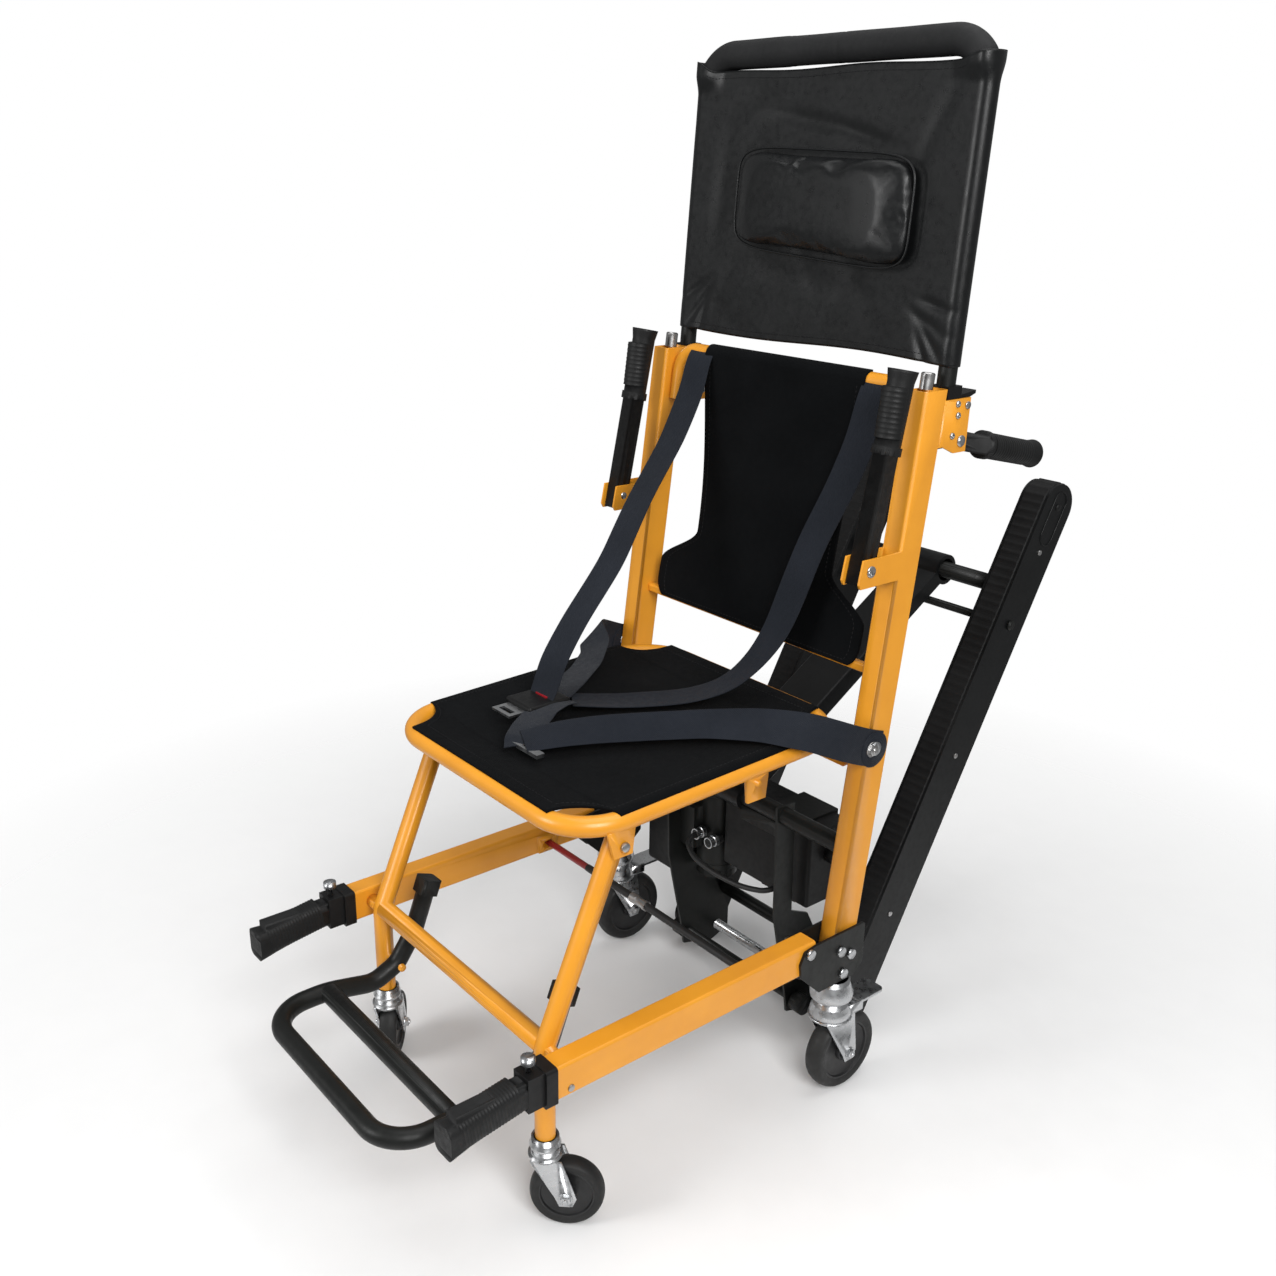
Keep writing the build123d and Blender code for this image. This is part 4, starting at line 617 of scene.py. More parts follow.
# ---------------------------------------------------------------- soft panels
@dataclass
class SeatCloth:
    """Cloth stretched over the seat's tube loop."""

    half: float = 206.0
    tube_x: float = 199.0
    tube_r: float = 12.5
    front: float = -420.0
    rear: float = 18.0
    front_z: float = 511.5
    rise: float = 0.03326
    notch: float = 60.0
    sag: float = 9.0
    thick: float = 2.6
    hem: float = 15.0

    def surface(self, u: Array, v: Array) -> Array:
        """Maps a unit square to the cloth.

        The width narrows in quarter-circle notches at each end, the middle sags as a parabola, and past the
        tube's middle line the cloth follows the tube's circle.
        """
        y = self.front + (self.rear - self.front) * v
        near = np.minimum(y - self.front, self.rear - y)
        x = u * self.outline(near)
        over = np.clip(np.abs(x) - (self.tube_x - 2.0), 0.0, None)
        inner = np.clip(np.abs(x) / (self.tube_x - 2.0), 0.0, 1.0)
        ends = ease(near, 0.0, 70.0)
        lift = -(over**2) / (2.0 * self.tube_r) - self.sag * (1.0 - inner**2) * ends
        z = self.front_z + self.rise * (y + 416.0) + self.tube_r + self.thick / 2.0 + lift
        z = z - np.clip(-416.0 - y, 0.0, None) ** 2 / (2.0 * self.tube_r)
        return np.stack(np.broadcast_arrays(x, y, z), axis=-1)

    def outline(self, near: Array) -> Array:
        """Half-width at a distance from the nearer end: full, less a concave quarter circle in the corner."""
        inside = np.clip(self.notch - near, 0.0, self.notch)
        bite = np.sqrt(np.clip(self.notch**2 - (self.notch - inside) ** 2, 0.0, None))
        return self.half - np.where(near < self.notch, bite * 0.96, 0.0)

    def build(self) -> None:
        """Makes the cloth and the stitches along its hem."""
        v = np.concatenate((np.linspace(0.0, 0.14, 34)[:-1], np.linspace(0.14, 0.86, 60)[:-1],
                            np.linspace(0.86, 1.0, 34)))
        u = np.linspace(-1.0, 1.0, 91)
        grid = self.surface(u[None], v[:, None])
        wave = np.sin(grid[..., 0] / 47.0 + 1.3 * np.sin(grid[..., 1] / 90.0))
        folds = 0.9 * wave * bump_at(grid[..., 1], -330.0, 90.0)
        grid[..., 2] += folds * (1.0 - np.abs(u[None]) ** 4)
        shell = Shell().grid(grid)
        cloth = shell.piece("seat_cloth", CLOTH, "seat", "panel_fabric")
        thicken(cloth, self.thick)
        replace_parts(cloth, "seat_panel")
        self.hems()

    def hems(self) -> None:
        """A raised line of stitching inside the edge, all the way round."""
        v = np.linspace(0.04, 0.96, 160)
        inset = 1.0 - self.hem / self.half
        right = self.surface(np.full_like(v, inset), v)
        u = np.linspace(inset, -inset, 90)
        rear = self.surface(u, np.full_like(u, 0.96))
        left = self.surface(np.full_like(v, -inset), v[::-1])
        front = self.surface(-u, np.full_like(u, 0.04))
        loop = np.vstack((right, rear[1:-1], left, front[1:-1]))
        loop[:, 2] += self.thick / 2.0 + 0.1
        stitch_row(loop, 6.0).piece("seat_stitching", THREAD, "seat", "panel_fabric")


def thicken(piece: bpy.types.Object, thick: float) -> None:
    """Gives a sheet its thickness, half to each side."""
    wall = piece.modifiers.new("thickness", "SOLIDIFY")
    wall.thickness = thick * MM
    wall.offset = 0.0
    wall.use_even_offset = True


def stitch_row(line: Array, pitch: float, radius: float = 0.55, fill: float = 0.62) -> Shell:
    """Short spindles of thread laid end to end along a line.

    Args:
        line: the seam, as an array of points.
        pitch: distance from one stitch to the next.
        radius: thread radius.
        fill: stitch length as a share of the pitch.
    Returns:
        A shell with one small closed spindle for each stitch.
    """
    length = along(line)
    starts = np.arange(pitch / 2.0, length[-1] - pitch / 2.0, pitch)
    spots = np.array((-0.5, -0.3, 0.3, 0.5)) * fill * pitch
    steps = starts[:, None] + spots[None]
    middle = np.stack([np.interp(steps, length, line[:, k]) for k in range(3)], axis=-1)
    way = unit(middle[:, -1] - middle[:, 0])
    side = unit(np.cross(way, (0.2, 0.35, 0.9)))
    face = np.cross(way, side)
    turn = np.linspace(0.0, 2.0 * math.pi, 5, endpoint=False)
    ring = np.cos(turn)[None, :, None] * side[:, None] + np.sin(turn)[None, :, None] * face[:, None]
    size = np.array((0.15, 1.0, 1.0, 0.15)) * radius
    points = middle[:, :, None] + ring[:, None] * size[None, :, None, None]
    shell = Shell()
    count, rows, sides = points.shape[:3]
    base = np.arange(count)[:, None, None] * rows * sides
    index = base + np.arange(rows * sides).reshape(rows, sides)[None]
    wrapped = np.concatenate((index, index[:, :, :1]), axis=2)
    corners = (wrapped[:, :-1, :-1], wrapped[:, 1:, :-1], wrapped[:, 1:, 1:], wrapped[:, :-1, 1:])
    quads = np.stack(corners, axis=-1)
    ends = np.concatenate((index[:, 0, ::-1], index[:, -1]))
    shell.points.append(points.reshape(-1, 3))
    shell.faces.append(quads.reshape(-1, 4))
    shell.faces.append(ends)
    shell.maps.append(np.zeros((quads.reshape(-1, 4).shape[0], 4, 2)))
    shell.maps.append(np.zeros((len(ends), sides, 2)))
    shell.count = count * rows * sides
    return shell


@dataclass
class BackCloth:
    """Cloth stretched from the upper bar to the lower bar, narrow in the waist."""

    top_z: float = 962.0
    top_y: float = 79.0
    top_r: float = 11.0
    low_z: float = 610.0
    low_y: float = 37.0
    low_r: float = 7.0
    thick: float = 2.6

    def width(self, t: Array) -> Array:
        """Half-width from top to bottom: nearly straight, drawn in at the waist, then out to round lobes."""
        waist = 146.0 - 16.0 * np.sin(np.clip(t / 0.72, 0.0, 1.0) * math.pi / 2.0) ** 1.5
        lobe = 68.0 * ease(t, 0.70, 0.86)
        corner = 26.0 * (1.0 - np.sqrt(np.clip(1.0 - (np.clip(t - 0.93, 0.0, None) / 0.085) ** 2, 0.0, 1.0)))
        return waist + lobe - corner

    def build(self) -> None:
        """Makes the cloth with its wraps round both bars, and its stitching."""
        r, s = self.top_r + self.thick / 2.0, self.low_r + self.thick / 2.0
        turn = np.linspace(math.pi * 0.55, 0.0, 12)
        over_y = self.top_y - r * np.cos(turn)
        over_z = self.top_z + r * np.sin(turn)
        y0, z0 = over_y[-1], over_z[-1]
        y1, z1 = self.low_y - s, self.low_z
        t = np.linspace(0.0, 1.0, 96)
        bow = 7.0 * np.sin(t * math.pi)
        face_y = y0 + (y1 - y0) * t + bow
        face_z = z0 + (z1 - z0) * t
        under = np.linspace(0.0, 0.2, 5)[1:]
        low_y = self.low_y - s * np.cos(under)
        low_z = self.low_z - s * np.sin(under)
        y = np.concatenate((over_y[:-1], face_y, low_y))
        z = np.concatenate((over_z[:-1], face_z, low_z))
        share = np.clip((z0 - z) / (z0 - self.low_z), 0.0, 1.03)
        half = self.width(share)
        u = np.linspace(-1.0, 1.0, 81)
        x = u[None] * half[:, None]
        curl = 2.5 * np.abs(u[None]) ** 6 * np.sin(share * math.pi)[:, None]
        grid = np.stack(np.broadcast_arrays(x, y[:, None] + curl, z[:, None]), axis=-1)
        cloth = Shell().grid(grid).piece("back_cloth", CLOTH, "back_frame", "panel_fabric")
        thicken(cloth, self.thick)
        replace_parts(cloth, "back_panel")
        seams = np.vstack((grid[12:-6, 3], grid[-6, 3:-3], grid[12:-6, -4][::-1]))
        seams[:, 1] -= self.thick / 2.0 + 0.1
        stitch_row(seams, 6.0).piece("back_stitching", THREAD, "back_frame", "panel_fabric")


# ---------------------------------------------------------------- headrest
@dataclass
class Headrest:
    """Coated cover over the headrest tubes, its pillow and the foam above."""

    base: tuple[float, float] = (111.5, 970.0)
    top: tuple[float, float] = (140.0, 1350.0)
    tube_x: float = 235.0
    cover_low: float = 989.0
    cover_top: float = 1329.0
    skin: float = 13.2
    wall: float = 1.2
    pillow_half: Point = (150.0, 64.0, 27.0)
    pillow_at: tuple[float, float] = (18.0, 1165.0)
    pillow_tilt: float = 0.045
    bunching: float = 0.45

    def depth(self, z: Array) -> Array:
        """Depth of the tubes' middle line at a height."""
        lean = (self.top[0] - self.base[0]) / (self.top[1] - self.base[1])
        return self.base[0] + (np.asarray(z, float) - self.base[1]) * lean

    def slack(self, piece: bpy.types.Object) -> None:
        """Gives a soft piece its own copy of its mesh."""
        top = tuple(DATUM.at((0.0, 110.0, self.cover_top)))
        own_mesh(piece)

    def creases(self, x: Array, z: Array) -> Array:
        """Folds in the cover: long narrow bells, each at its own place and angle."""
        rng = np.random.default_rng(11)
        total = np.zeros(np.broadcast(x, z).shape)
        rows = [(-208.0, 1020.0, 0.9, 2.6, 5.0, 34.0), (-216.0, 1044.0, 0.6, 2.2, 5.0, 28.0),
                (-200.0, 1002.0, 1.3, 2.2, 5.0, 30.0), (212.0, 1012.0, -0.8, 2.4, 5.0, 30.0),
                (206.0, 1034.0, -0.4, 2.2, 5.5, 30.0), (214.0, 1056.0, -0.2, 2.4, 5.0, 26.0),
                (200.0, 998.0, -1.1, 2.6, 5.0, 26.0), (-30.0, 1266.0, -0.16, 3.0, 10.0, 60.0),
                (65.0, 1248.0, -0.24, 2.8, 9.0, 50.0), (178.0, 1256.0, 1.1, 0.9, 12.0, 60.0),
                (0.0, 1070.0, -0.1, 1.1, 14.0, 110.0),
                (-150.0, 1290.0, 0.3, 0.8, 14.0, 80.0), (-180.0, 1180.0, 1.5, 1.0, 14.0, 70.0)]
        rows += [(rng.uniform(-190, 190), rng.uniform(1010, 1310), rng.uniform(-1.2, 1.2),
                  rng.uniform(0.3, 0.7), rng.uniform(10, 18), rng.uniform(40, 100)) for _ in range(16)]
        for cx, cz, angle, high, narrow, long in rows:
            a = (x - cx) * math.cos(angle) + (z - cz) * math.sin(angle)
            b = -(x - cx) * math.sin(angle) + (z - cz) * math.cos(angle)
            total = total + high * np.exp(-((b / narrow) ** 2) - (a / long) ** 2)
        return total

    def cover(self) -> None:
        """One closed band of coated cloth round both tubes, open at the top and the bottom."""
        flat = np.linspace(-self.tube_x, self.tube_x, 130)
        turn = np.linspace(-math.pi / 2.0, math.pi / 2.0, 14)[1:-1]
        x = np.concatenate((flat, self.tube_x + self.skin * np.cos(turn), flat[::-1],
                            -self.tube_x - self.skin * np.cos(turn)))
        front = np.concatenate((np.full(130, -1.0), np.sin(turn), np.full(130, 1.0), -np.sin(turn)))
        row = np.linspace(0.0, 1.0, 110)[:, None]
        ears = (11.0 - 4.0 * np.sign(x)) * ease(np.abs(x), 205.0, 243.0)
        high = self.cover_top + 1.5 * np.sin(x / 38.0) + ears
        high = high[None]
        low = self.cover_low + 3.0 * np.sin(x / 70.0)[None]
        z = low + (high - low) * row
        middle = np.clip(1.0 - (np.abs(x) / self.tube_x) ** 2.2, 0.0, 1.0)[None]
        swell = 7.5 * ease(z, 1300.0, 1328.0) * ease(np.abs(x), 190.0, 222.0)[None]
        half = self.skin - 7.0 * middle + swell
        share = np.where(front < 0, 1.0, 0.6) * np.abs(front) ** 2
        body = self.creases(np.clip(x, -self.tube_x, self.tube_x)[None], z) * share[None]
        y = self.depth(z) + front[None] * (half + np.where(front[None] < 0, -body, body))
        grid = np.stack((np.broadcast_to(x[None], z.shape), y, z), axis=-1)
        shell = Shell().grid(grid, (False, True))
        cover = shell.piece("head_cover", LEATHER, "headrest", "leather_black", 70.0)
        thicken(cover, self.wall)
        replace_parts(cover, "headrest_cover")
        for name, index in (("head_cover_hem_low", 3), ("head_cover_hem_top", -4)):
            seam = np.vstack((grid[index, 4:126], grid[index, 4:5]))[:-1].copy()
            seam[:, 1] -= 0.9
            piece = stitch_row(seam, 5.0).piece(name, THREAD, "headrest", "leather_black")
            self.slack(piece)
        self.slack(cover)

    def pillow(self) -> None:
        """A padded pillow on the cover, filled by a cloth simulation, with piping on its side seam."""
        (wide, tall, deep), (mid_x, mid_z), tilt = self.pillow_half, self.pillow_at, self.pillow_tilt
        turn = np.linspace(0.0, 2.0 * math.pi, 96, endpoint=False)
        out_x = np.sign(np.cos(turn)) * np.abs(np.cos(turn)) ** 0.34
        out_z = np.sign(np.sin(turn)) * np.abs(np.sin(turn)) ** 0.34
        level = np.array((0.0, 0.03, 0.09, 0.22, 0.45, 0.75, 1.0, 1.0, 1.0))
        size = np.array((0.02, 0.5, 0.8, 0.93, 0.99, 1.0, 0.97, 0.5, 0.02))
        x = mid_x + wide * size[:, None] * out_x[None] * (1.0 - 0.02 * out_z[None])
        z = mid_z + tall * size[:, None] * out_z[None] * (1.0 + 0.03 * out_x[None]) - tilt * (x - mid_x)
        y = self.depth(z) - self.skin + 2.0 + deep * (level[:, None] - 1.0)
        shell = Shell().grid(np.stack((x, y, z), axis=-1), (False, True), True)
        pillow = shell.piece("pillow", LEATHER, "headrest", "leather_black", 60.0)
        self.inflate(pillow)
        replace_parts(pillow, "head_pillow")
        self.slack(pillow)
        edge_x = mid_x + (wide + 1.5) * out_x
        edge_z = mid_z + (tall + 1.5) * out_z * (1.0 + 0.03 * out_x) - tilt * (edge_x - mid_x)
        line = np.stack((edge_x, self.depth(edge_z) - self.skin - 0.42 * deep, edge_z), axis=-1)
        piping = Shell().sweep(line, circle_profile(1.5, 10), (0.0, 1.0, 0.0), closed=True)
        cord = piping.piece("pillow_piping", LEATHER, "headrest", "leather_black", 70.0)
        self.slack(cord)

    def inflate(self, pillow: bpy.types.Object) -> None:
        """Remeshes the pillow and lets cloth pressure fill it, with the travel capped."""
        remesh = pillow.modifiers.new("even", "REMESH")
        remesh.mode = "VOXEL"
        remesh.voxel_size = 0.0045
        apply_stack(pillow)
        rest = np.empty(len(pillow.data.vertices) * 3)
        pillow.data.vertices.foreach_get("co", rest)
        cloth = pillow.modifiers.new("fill", "CLOTH")
        cloth.settings.use_pressure = True
        cloth.settings.uniform_pressure_force = 4.0
        cloth.settings.effector_weights.gravity = 0.0
        for step in range(1, 21):
            bpy.context.scene.frame_set(step)
        apply_stack(pillow)
        bpy.context.scene.frame_set(1)
        moved = np.empty_like(rest)
        pillow.data.vertices.foreach_get("co", moved)
        travel = (moved - rest).reshape(-1, 3)
        size = np.linalg.norm(travel, axis=1, keepdims=True)
        travel *= np.minimum(1.0, 0.007 / np.maximum(size, 1e-9))
        pillow.data.vertices.foreach_set("co", (rest.reshape(-1, 3) + travel).ravel())
        smooth = pillow.modifiers.new("soft", "SUBSURF")
        smooth.levels = smooth.render_levels = 1
        apply_stack(pillow)
        pillow.data.polygons.foreach_set("use_smooth", np.ones(len(pillow.data.polygons), bool))

    def foam(self) -> None:
        """Foam sleeve over the top of the tube, with a glued seam and a slightly thicker stretch."""
        bend, x0, z1 = 52.0, self.tube_x, self.top[1]
        turn = np.linspace(math.asin((1323.0 - z1 + bend) / bend), math.pi / 2.0, 20)
        right = np.stack((x0 - bend + bend * np.cos(turn), z1 - bend + bend * np.sin(turn)), axis=1)
        straight = np.stack((np.linspace(x0 - bend, bend - x0, 120), np.full(120, z1)), axis=1)[1:-1]
        flat = np.vstack((right, straight, np.stack((-right[::-1, 0], right[::-1, 1]), axis=1)))
        line = np.stack((flat[:, 0], self.depth(flat[:, 1]), flat[:, 1]), axis=1)
        x = line[:, 0]
        seams = 0.05 * bump_at(x, 14.0, 1.8) + 0.03 * bump_at(x, -80.0, 2.0)
        size = 1.0 + 0.03 * ease(-x, 70.0, 82.0) - seams + 0.008 * np.sin(x / 21.0)
        step = np.arange(len(x))
        size = size - 0.25 * (bump_at(step, 0, 1.2) + bump_at(step, len(x) - 1, 1.2))
        shell = Shell().sweep(line, circle_profile(18.0, 36), (0.0, 1.0, 0.0), size)
        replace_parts(shell.piece("foam_sleeve", FOAM, "headrest", "foam", 60.0), "foam_grip")

    def build(self) -> None:
        """Makes the cover, pillow and foam."""
        self.cover()
        self.pillow()
        self.foam()


def apply_stack(piece: bpy.types.Object) -> None:
    """Bakes a piece's modifiers into its mesh."""
    bpy.context.view_layer.update()
    shaped = piece.evaluated_get(bpy.context.evaluated_depsgraph_get())
    mesh = bpy.data.meshes.new_from_object(shaped)
    keep = list(piece.data.materials)
    piece.modifiers.clear()
    piece.data = mesh
    mesh.materials.clear()
    for material in keep:
        mesh.materials.append(material)


# ---------------------------------------------------------------- harness
@dataclass
class Strap:
    """One run of webbing, through points and turned to a width direction at each."""

    name: str
    points: list[Point]
    across: list[Point]
    width: float = 48.0
    thick: float = 1.7

    def line(self) -> tuple[Array, Array]:
        """The strap's middle line and its width directions."""
        both = [p + a for p, a in zip(self.points, self.across)]
        run = smoothed(both, 150, 30)
        return run[:, :3], run[:, 3:]

    def build(self) -> bpy.types.Object:
        """Sweeps the strap's section, with a slight cup across and ripples along."""
        line, across = self.line()
        profile = strap_profile(self.width, self.thick, 18)
        side, face = frames_along(line, across)
        s = along(line)[:, None]
        ripple = 0.9 * np.sin(s / 38.0 + profile[None, :, 0] / 30.0) + 0.9 * (profile[None, :, 0] / 24.0) ** 2
        grid = line[:, None] + profile[None, :, :1] * side[:, None]
        grid = grid + (profile[None, :, 1] + ripple)[..., None] * face[:, None]
        ring = along(np.vstack((profile, profile[:1])))[:-1]
        shell = Shell().grid(grid, (False, True), True, (along(line), ring))
        return shell.piece(self.name, WEBBING, "back_frame", "webbing", 60.0)


@dataclass
class Harness:
    """Shoulder and lap straps, and their stitched ends."""

    def build(self) -> None:
        """Makes the four straps, with the lap strap's fold, and their end plates, and stands the straps for their
        nodes.
        """
        x = (1.0, 0.0, 0.0)
        right = Strap("shoulder_strap_right",
                      [(-156, 93, 930), (-156, 93, 962), (-156, 79, 977), (-155, 64, 962),
                       (-151, 48, 915), (-139, 1, 850), (-123, -68, 778), (-109, -126, 706),
                       (-92, -201, 641), (-83, -246, 590), (-83, -254, 562), (-84, -262, 549)],
                      [x, x, x, x, x, x, x, x, (1, 0.1, 0), (1, 0.1, 0), (1, 0.1, 0), (1, 0, 0)])
        left = Strap("shoulder_strap_left",
                     [(164, 93, 930), (164, 93, 962), (166, 79, 977), (168, 64, 962), (158, 55, 891),
                      (138, 42, 826), (116, 25, 760), (100, 10, 691), (87, -4, 635), (69, -25, 590),
                      (50, -55, 556), (20, -100, 541), (-30, -172, 538), (-66, -226, 541)],
                     [x, x, x, x, x, x, x, x, (1, -0.1, 0), (1, -0.3, 0), (0.9, -0.4, 0), (0.85, -0.5, 0),
                      (0.85, -0.55, 0), (0.9, -0.5, 0)])
        lap = Strap("lap_strap_left",
                    [(252.2, 22, 517), (252.2, 0, 524), (251, -38, 541), (226, -76, 557), (178, -112, 560),
                     (124, -158, 556), (80, -212, 552), (46, -262, 549), (22, -306, 546), (2, -350, 541)],
                    [(0, 0.3, 1), (0, 0.3, 1), (-0.1, 0.4, 1), (-0.35, 0.45, 0.8), (-0.6, 0.55, 0.6),
                     (-0.7, 0.55, 0.45), (-0.75, 0.5, 0.38), (-0.8, 0.45, 0.34), (-0.85, 0.4, 0.3),
                     (-0.88, 0.4, 0.2)])
        fold = Strap("lap_strap_fold",
                     [(3, -352, 536), (-8, -344, 541), (-26, -322, 546), (-46, -292, 549), (-60, -262, 548),
                      (-68, -240, 545)],
                     [(0.85, 0.5, 0.05), (0.85, 0.5, 0.05), (0.82, 0.55, 0.1), (0.8, 0.55, 0.14),
                      (0.85, 0.5, 0.1), (0.9, 0.45, 0.0)])
        other = Strap("lap_strap_right",
                      [(-252.2, 22, 517), (-252.2, 0, 524), (-251, -38, 541), (-222, -76, 560),
                       (-179, -100, 556), (-140, -147, 548), (-108, -200, 545), (-88, -240, 544)],
                      [(0, 0.3, 1), (0, 0.3, 1), (0.1, 0.4, 1), (0.45, 0.5, 0.85), (0.7, 0.7, 0.55),
                       (0.8, 0.6, 0.25), (0.85, 0.45, 0.1), (0.9, 0.35, 0.0)])
        shoulders = [right.build(), left.build()]
        laps = [lap.build(), other.build(), fold.build()]
        for strap in shoulders:
            self.follow(strap, "shoulder_belts", (0.0, 40.0, 900.0), (0.0, -120.0, 560.0))
        for strap in laps:
            self.follow(strap, "lap_belts", (0.0, 0.0, 530.0), (0.0, -90.0, 540.0))
        self.end_plates()

    @staticmethod
    def follow(strap: bpy.types.Object, node: str, start: Point, end: Point) -> None:
        """Stands a strap for its node, frees it from its body and bakes its place into its mesh."""
        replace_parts(strap, node)
        strap.parent = None
        tuple(DATUM.at(start))
        tuple(DATUM.at(end))
        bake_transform(strap)

    def end_plates(self) -> None:
        """Stitched, rounded ends of the lap straps on their anchor bolts."""
        shell = Shell()
        for side in (1.0, -1.0):
            shell.turned([(0, 3.2), (22, 3.2), (24, 2.4), (24, 0), (0, 0)], (side * 250.2, 12.0, 519.0),
                         (side, 0.0, 0.0), 40)
        shell.piece("lap_strap_ends", WEBBING, "back_frame", "webbing")


# ---------------------------------------------------------------- handles
@dataclass
class Grips:
    """Ribbed rubber sleeves on the handles."""

    def build(self) -> None:
        """Makes rings of ribs on each front grip, rear grip and armrest."""
        for name, side in (("left", 1.0), ("right", -1.0)):
            x = side * 235.0
            self.ribs(name + "_front_handle", (x, -529.0, 250.0), (x, -604.0, 239.5), (16.4, 18.9), 4.0)
            self.ribs(name + "_rear_handle", (x, 205.0, 881.0), (x, 288.0, 862.0), (16.3, 16.3), 5.0)
            self.ribs(name + "_armrest", (x, 12.0, 912.0), (x, 20.0, 972.0), (16.3, 16.3), 6.0)

    @staticmethod
    def ribs(body: str, start: Point, end: Point, half: tuple[float, float], pitch: float) -> None:
        """Raised rings between two points, as one sleeve whose radius swells and dips.

        Args:
            body: the handle it sits on, which it is named after.
            start: one end of its middle line.
            end: the other end.
            half: its half-width and half-depth.
            pitch: distance from one ring to the next.
        """
        length = math.dist(start, end)
        count = max(24, int(length / pitch) * 8)
        t = np.linspace(0.0, 1.0, count)
        line = np.array(start)[None] + t[:, None] * (np.array(end) - np.array(start))[None]
        power = 0.55 if half[0] != half[1] else 1.0
        turn = np.linspace(0.0, 2.0 * math.pi, 40, endpoint=False)
        profile = np.stack((half[0] * np.sign(np.cos(turn)) * np.abs(np.cos(turn)) ** power,
                            half[1] * np.sign(np.sin(turn)) * np.abs(np.sin(turn)) ** power), axis=1)
        size = 1.0 + 0.022 * np.clip(np.sin(t * length / pitch * 2.0 * math.pi), 0.0, 1.0) ** 0.6
        size = size * (1.0 - 0.2 * ((t < 1e-6) | (t > 1 - 1e-6)))
        sleeve = Shell().sweep(line, profile, (1.0, 0.0, 0.0), size)
        sleeve.piece(body + "_ribs", GRIP, body, "grip_rubber", 50.0)


# ---------------------------------------------------------------- tracks
@dataclass
class Tracks:
    """Ribbed belts and the trim of the track beams."""

    axle: tuple[float, float] = (99.0, 52.0)
    angle: float = math.radians(28.32)
    length: float = 791.0
    outer: float = 177.0
    width: float = 45.0
    plate: float = 4.3
    belt_r: float = 35.4
    belt_t: float = 4.4
    pitch: float = 13.0

    def point(self, step: float, x: float, off: float = 0.0) -> Point:
        """A place step millimetres up the track's middle line and off millimetres behind it."""
        return (x, self.axle[0] + step * math.sin(self.angle) + off * math.cos(self.angle),
                self.axle[1] + step * math.cos(self.angle) - off * math.sin(self.angle))

    def loop(self, radius: float, step: float) -> Array:
        """(along, off) pairs round a round-ended loop, at even steps."""
        straight, arc = self.length, math.pi * radius
        total = 2.0 * (straight + arc)
        s = np.arange(0.0, total, total / round(total / step))
        ahead = np.stack((s, np.full_like(s, radius)), axis=1)
        turn = (s - straight) / radius
        top = np.stack((straight + radius * np.sin(turn), radius * np.cos(turn)), axis=1)
        back = np.stack((2.0 * straight + arc - s, np.full_like(s, -radius)), axis=1)
        turn = (s - 2.0 * straight - arc) / radius
        low = np.stack((-radius * np.sin(turn), -radius * np.cos(turn)), axis=1)
        out = np.where((s < straight)[:, None], ahead, top)
        out = np.where((s >= straight + arc)[:, None], back, out)
        return np.where((s >= 2.0 * straight + arc)[:, None], low, out)

    def place(self, pairs: Array, x: Array) -> Array:
        """(along, off) pairs and widths as points."""
        step, off = pairs[..., 0], pairs[..., 1]
        y = self.axle[0] + step * math.sin(self.angle) + off * math.cos(self.angle)
        z = self.axle[1] + step * math.cos(self.angle) - off * math.sin(self.angle)
        return np.stack(np.broadcast_arrays(x, y, z), axis=-1)

    def belts(self) -> None:
        """Two belts whose outer face rises in a low cleat at each pitch."""
        pairs = self.loop(self.belt_r, self.pitch / 6.0)
        nearest = np.clip(pairs[:, :1], 0.0, self.length)
        out = unit(pairs - np.concatenate((nearest, np.zeros_like(nearest)), axis=1))
        cleat = 0.9 * ((np.arange(len(pairs)) % 6) < 2)
        inner = self.outer - self.width + self.plate
        outer = self.outer - self.plate
        shell = Shell()
        for side in (1.0, -1.0):
            edge = np.array((inner, inner + 1.5, outer - 1.5, outer, outer, inner)) * side
            lift = np.array((-1.0, 0.0, 0.0, -1.0, -self.belt_t, -self.belt_t))
            high = np.array((0.0, 1.0, 1.0, 0.0, 0.0, 0.0))
            reach = lift[None] + cleat[:, None] * high[None]
            spots = pairs[:, None] + out[:, None] * reach[..., None]
            shell.grid(self.place(spots, edge[None]), (True, True))
        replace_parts(shell.piece("ribbed_belts", BELT_RUBBER, "tracks", "belt_rubber", 30.0), "track_belts")

    def trim(self) -> None:
        """Slot rims near the top of each side plate."""
        shell = Shell()
        turn = np.linspace(0.0, 2.0 * math.pi, 64, endpoint=False)
        step = self.length - 18.0 + np.sign(np.sin(turn)) * 26.0 + 15.0 * np.sin(turn)
        pairs = np.stack((step, 15.0 * np.cos(turn)), axis=1)
        for side in (1.0, -1.0):
            rim = self.place(pairs, np.full(64, side * (self.outer + 0.2)))
            shell.sweep(rim, circle_profile(1.3, 8), (1.0, 0.0, 0.0), closed=True)
        shell.piece("track_slot_rims", ANODISED, "tracks", "black_alloy", 50.0)

    def build(self) -> None:
        """Makes the belts and the trim."""
        self.belts()
        self.trim()


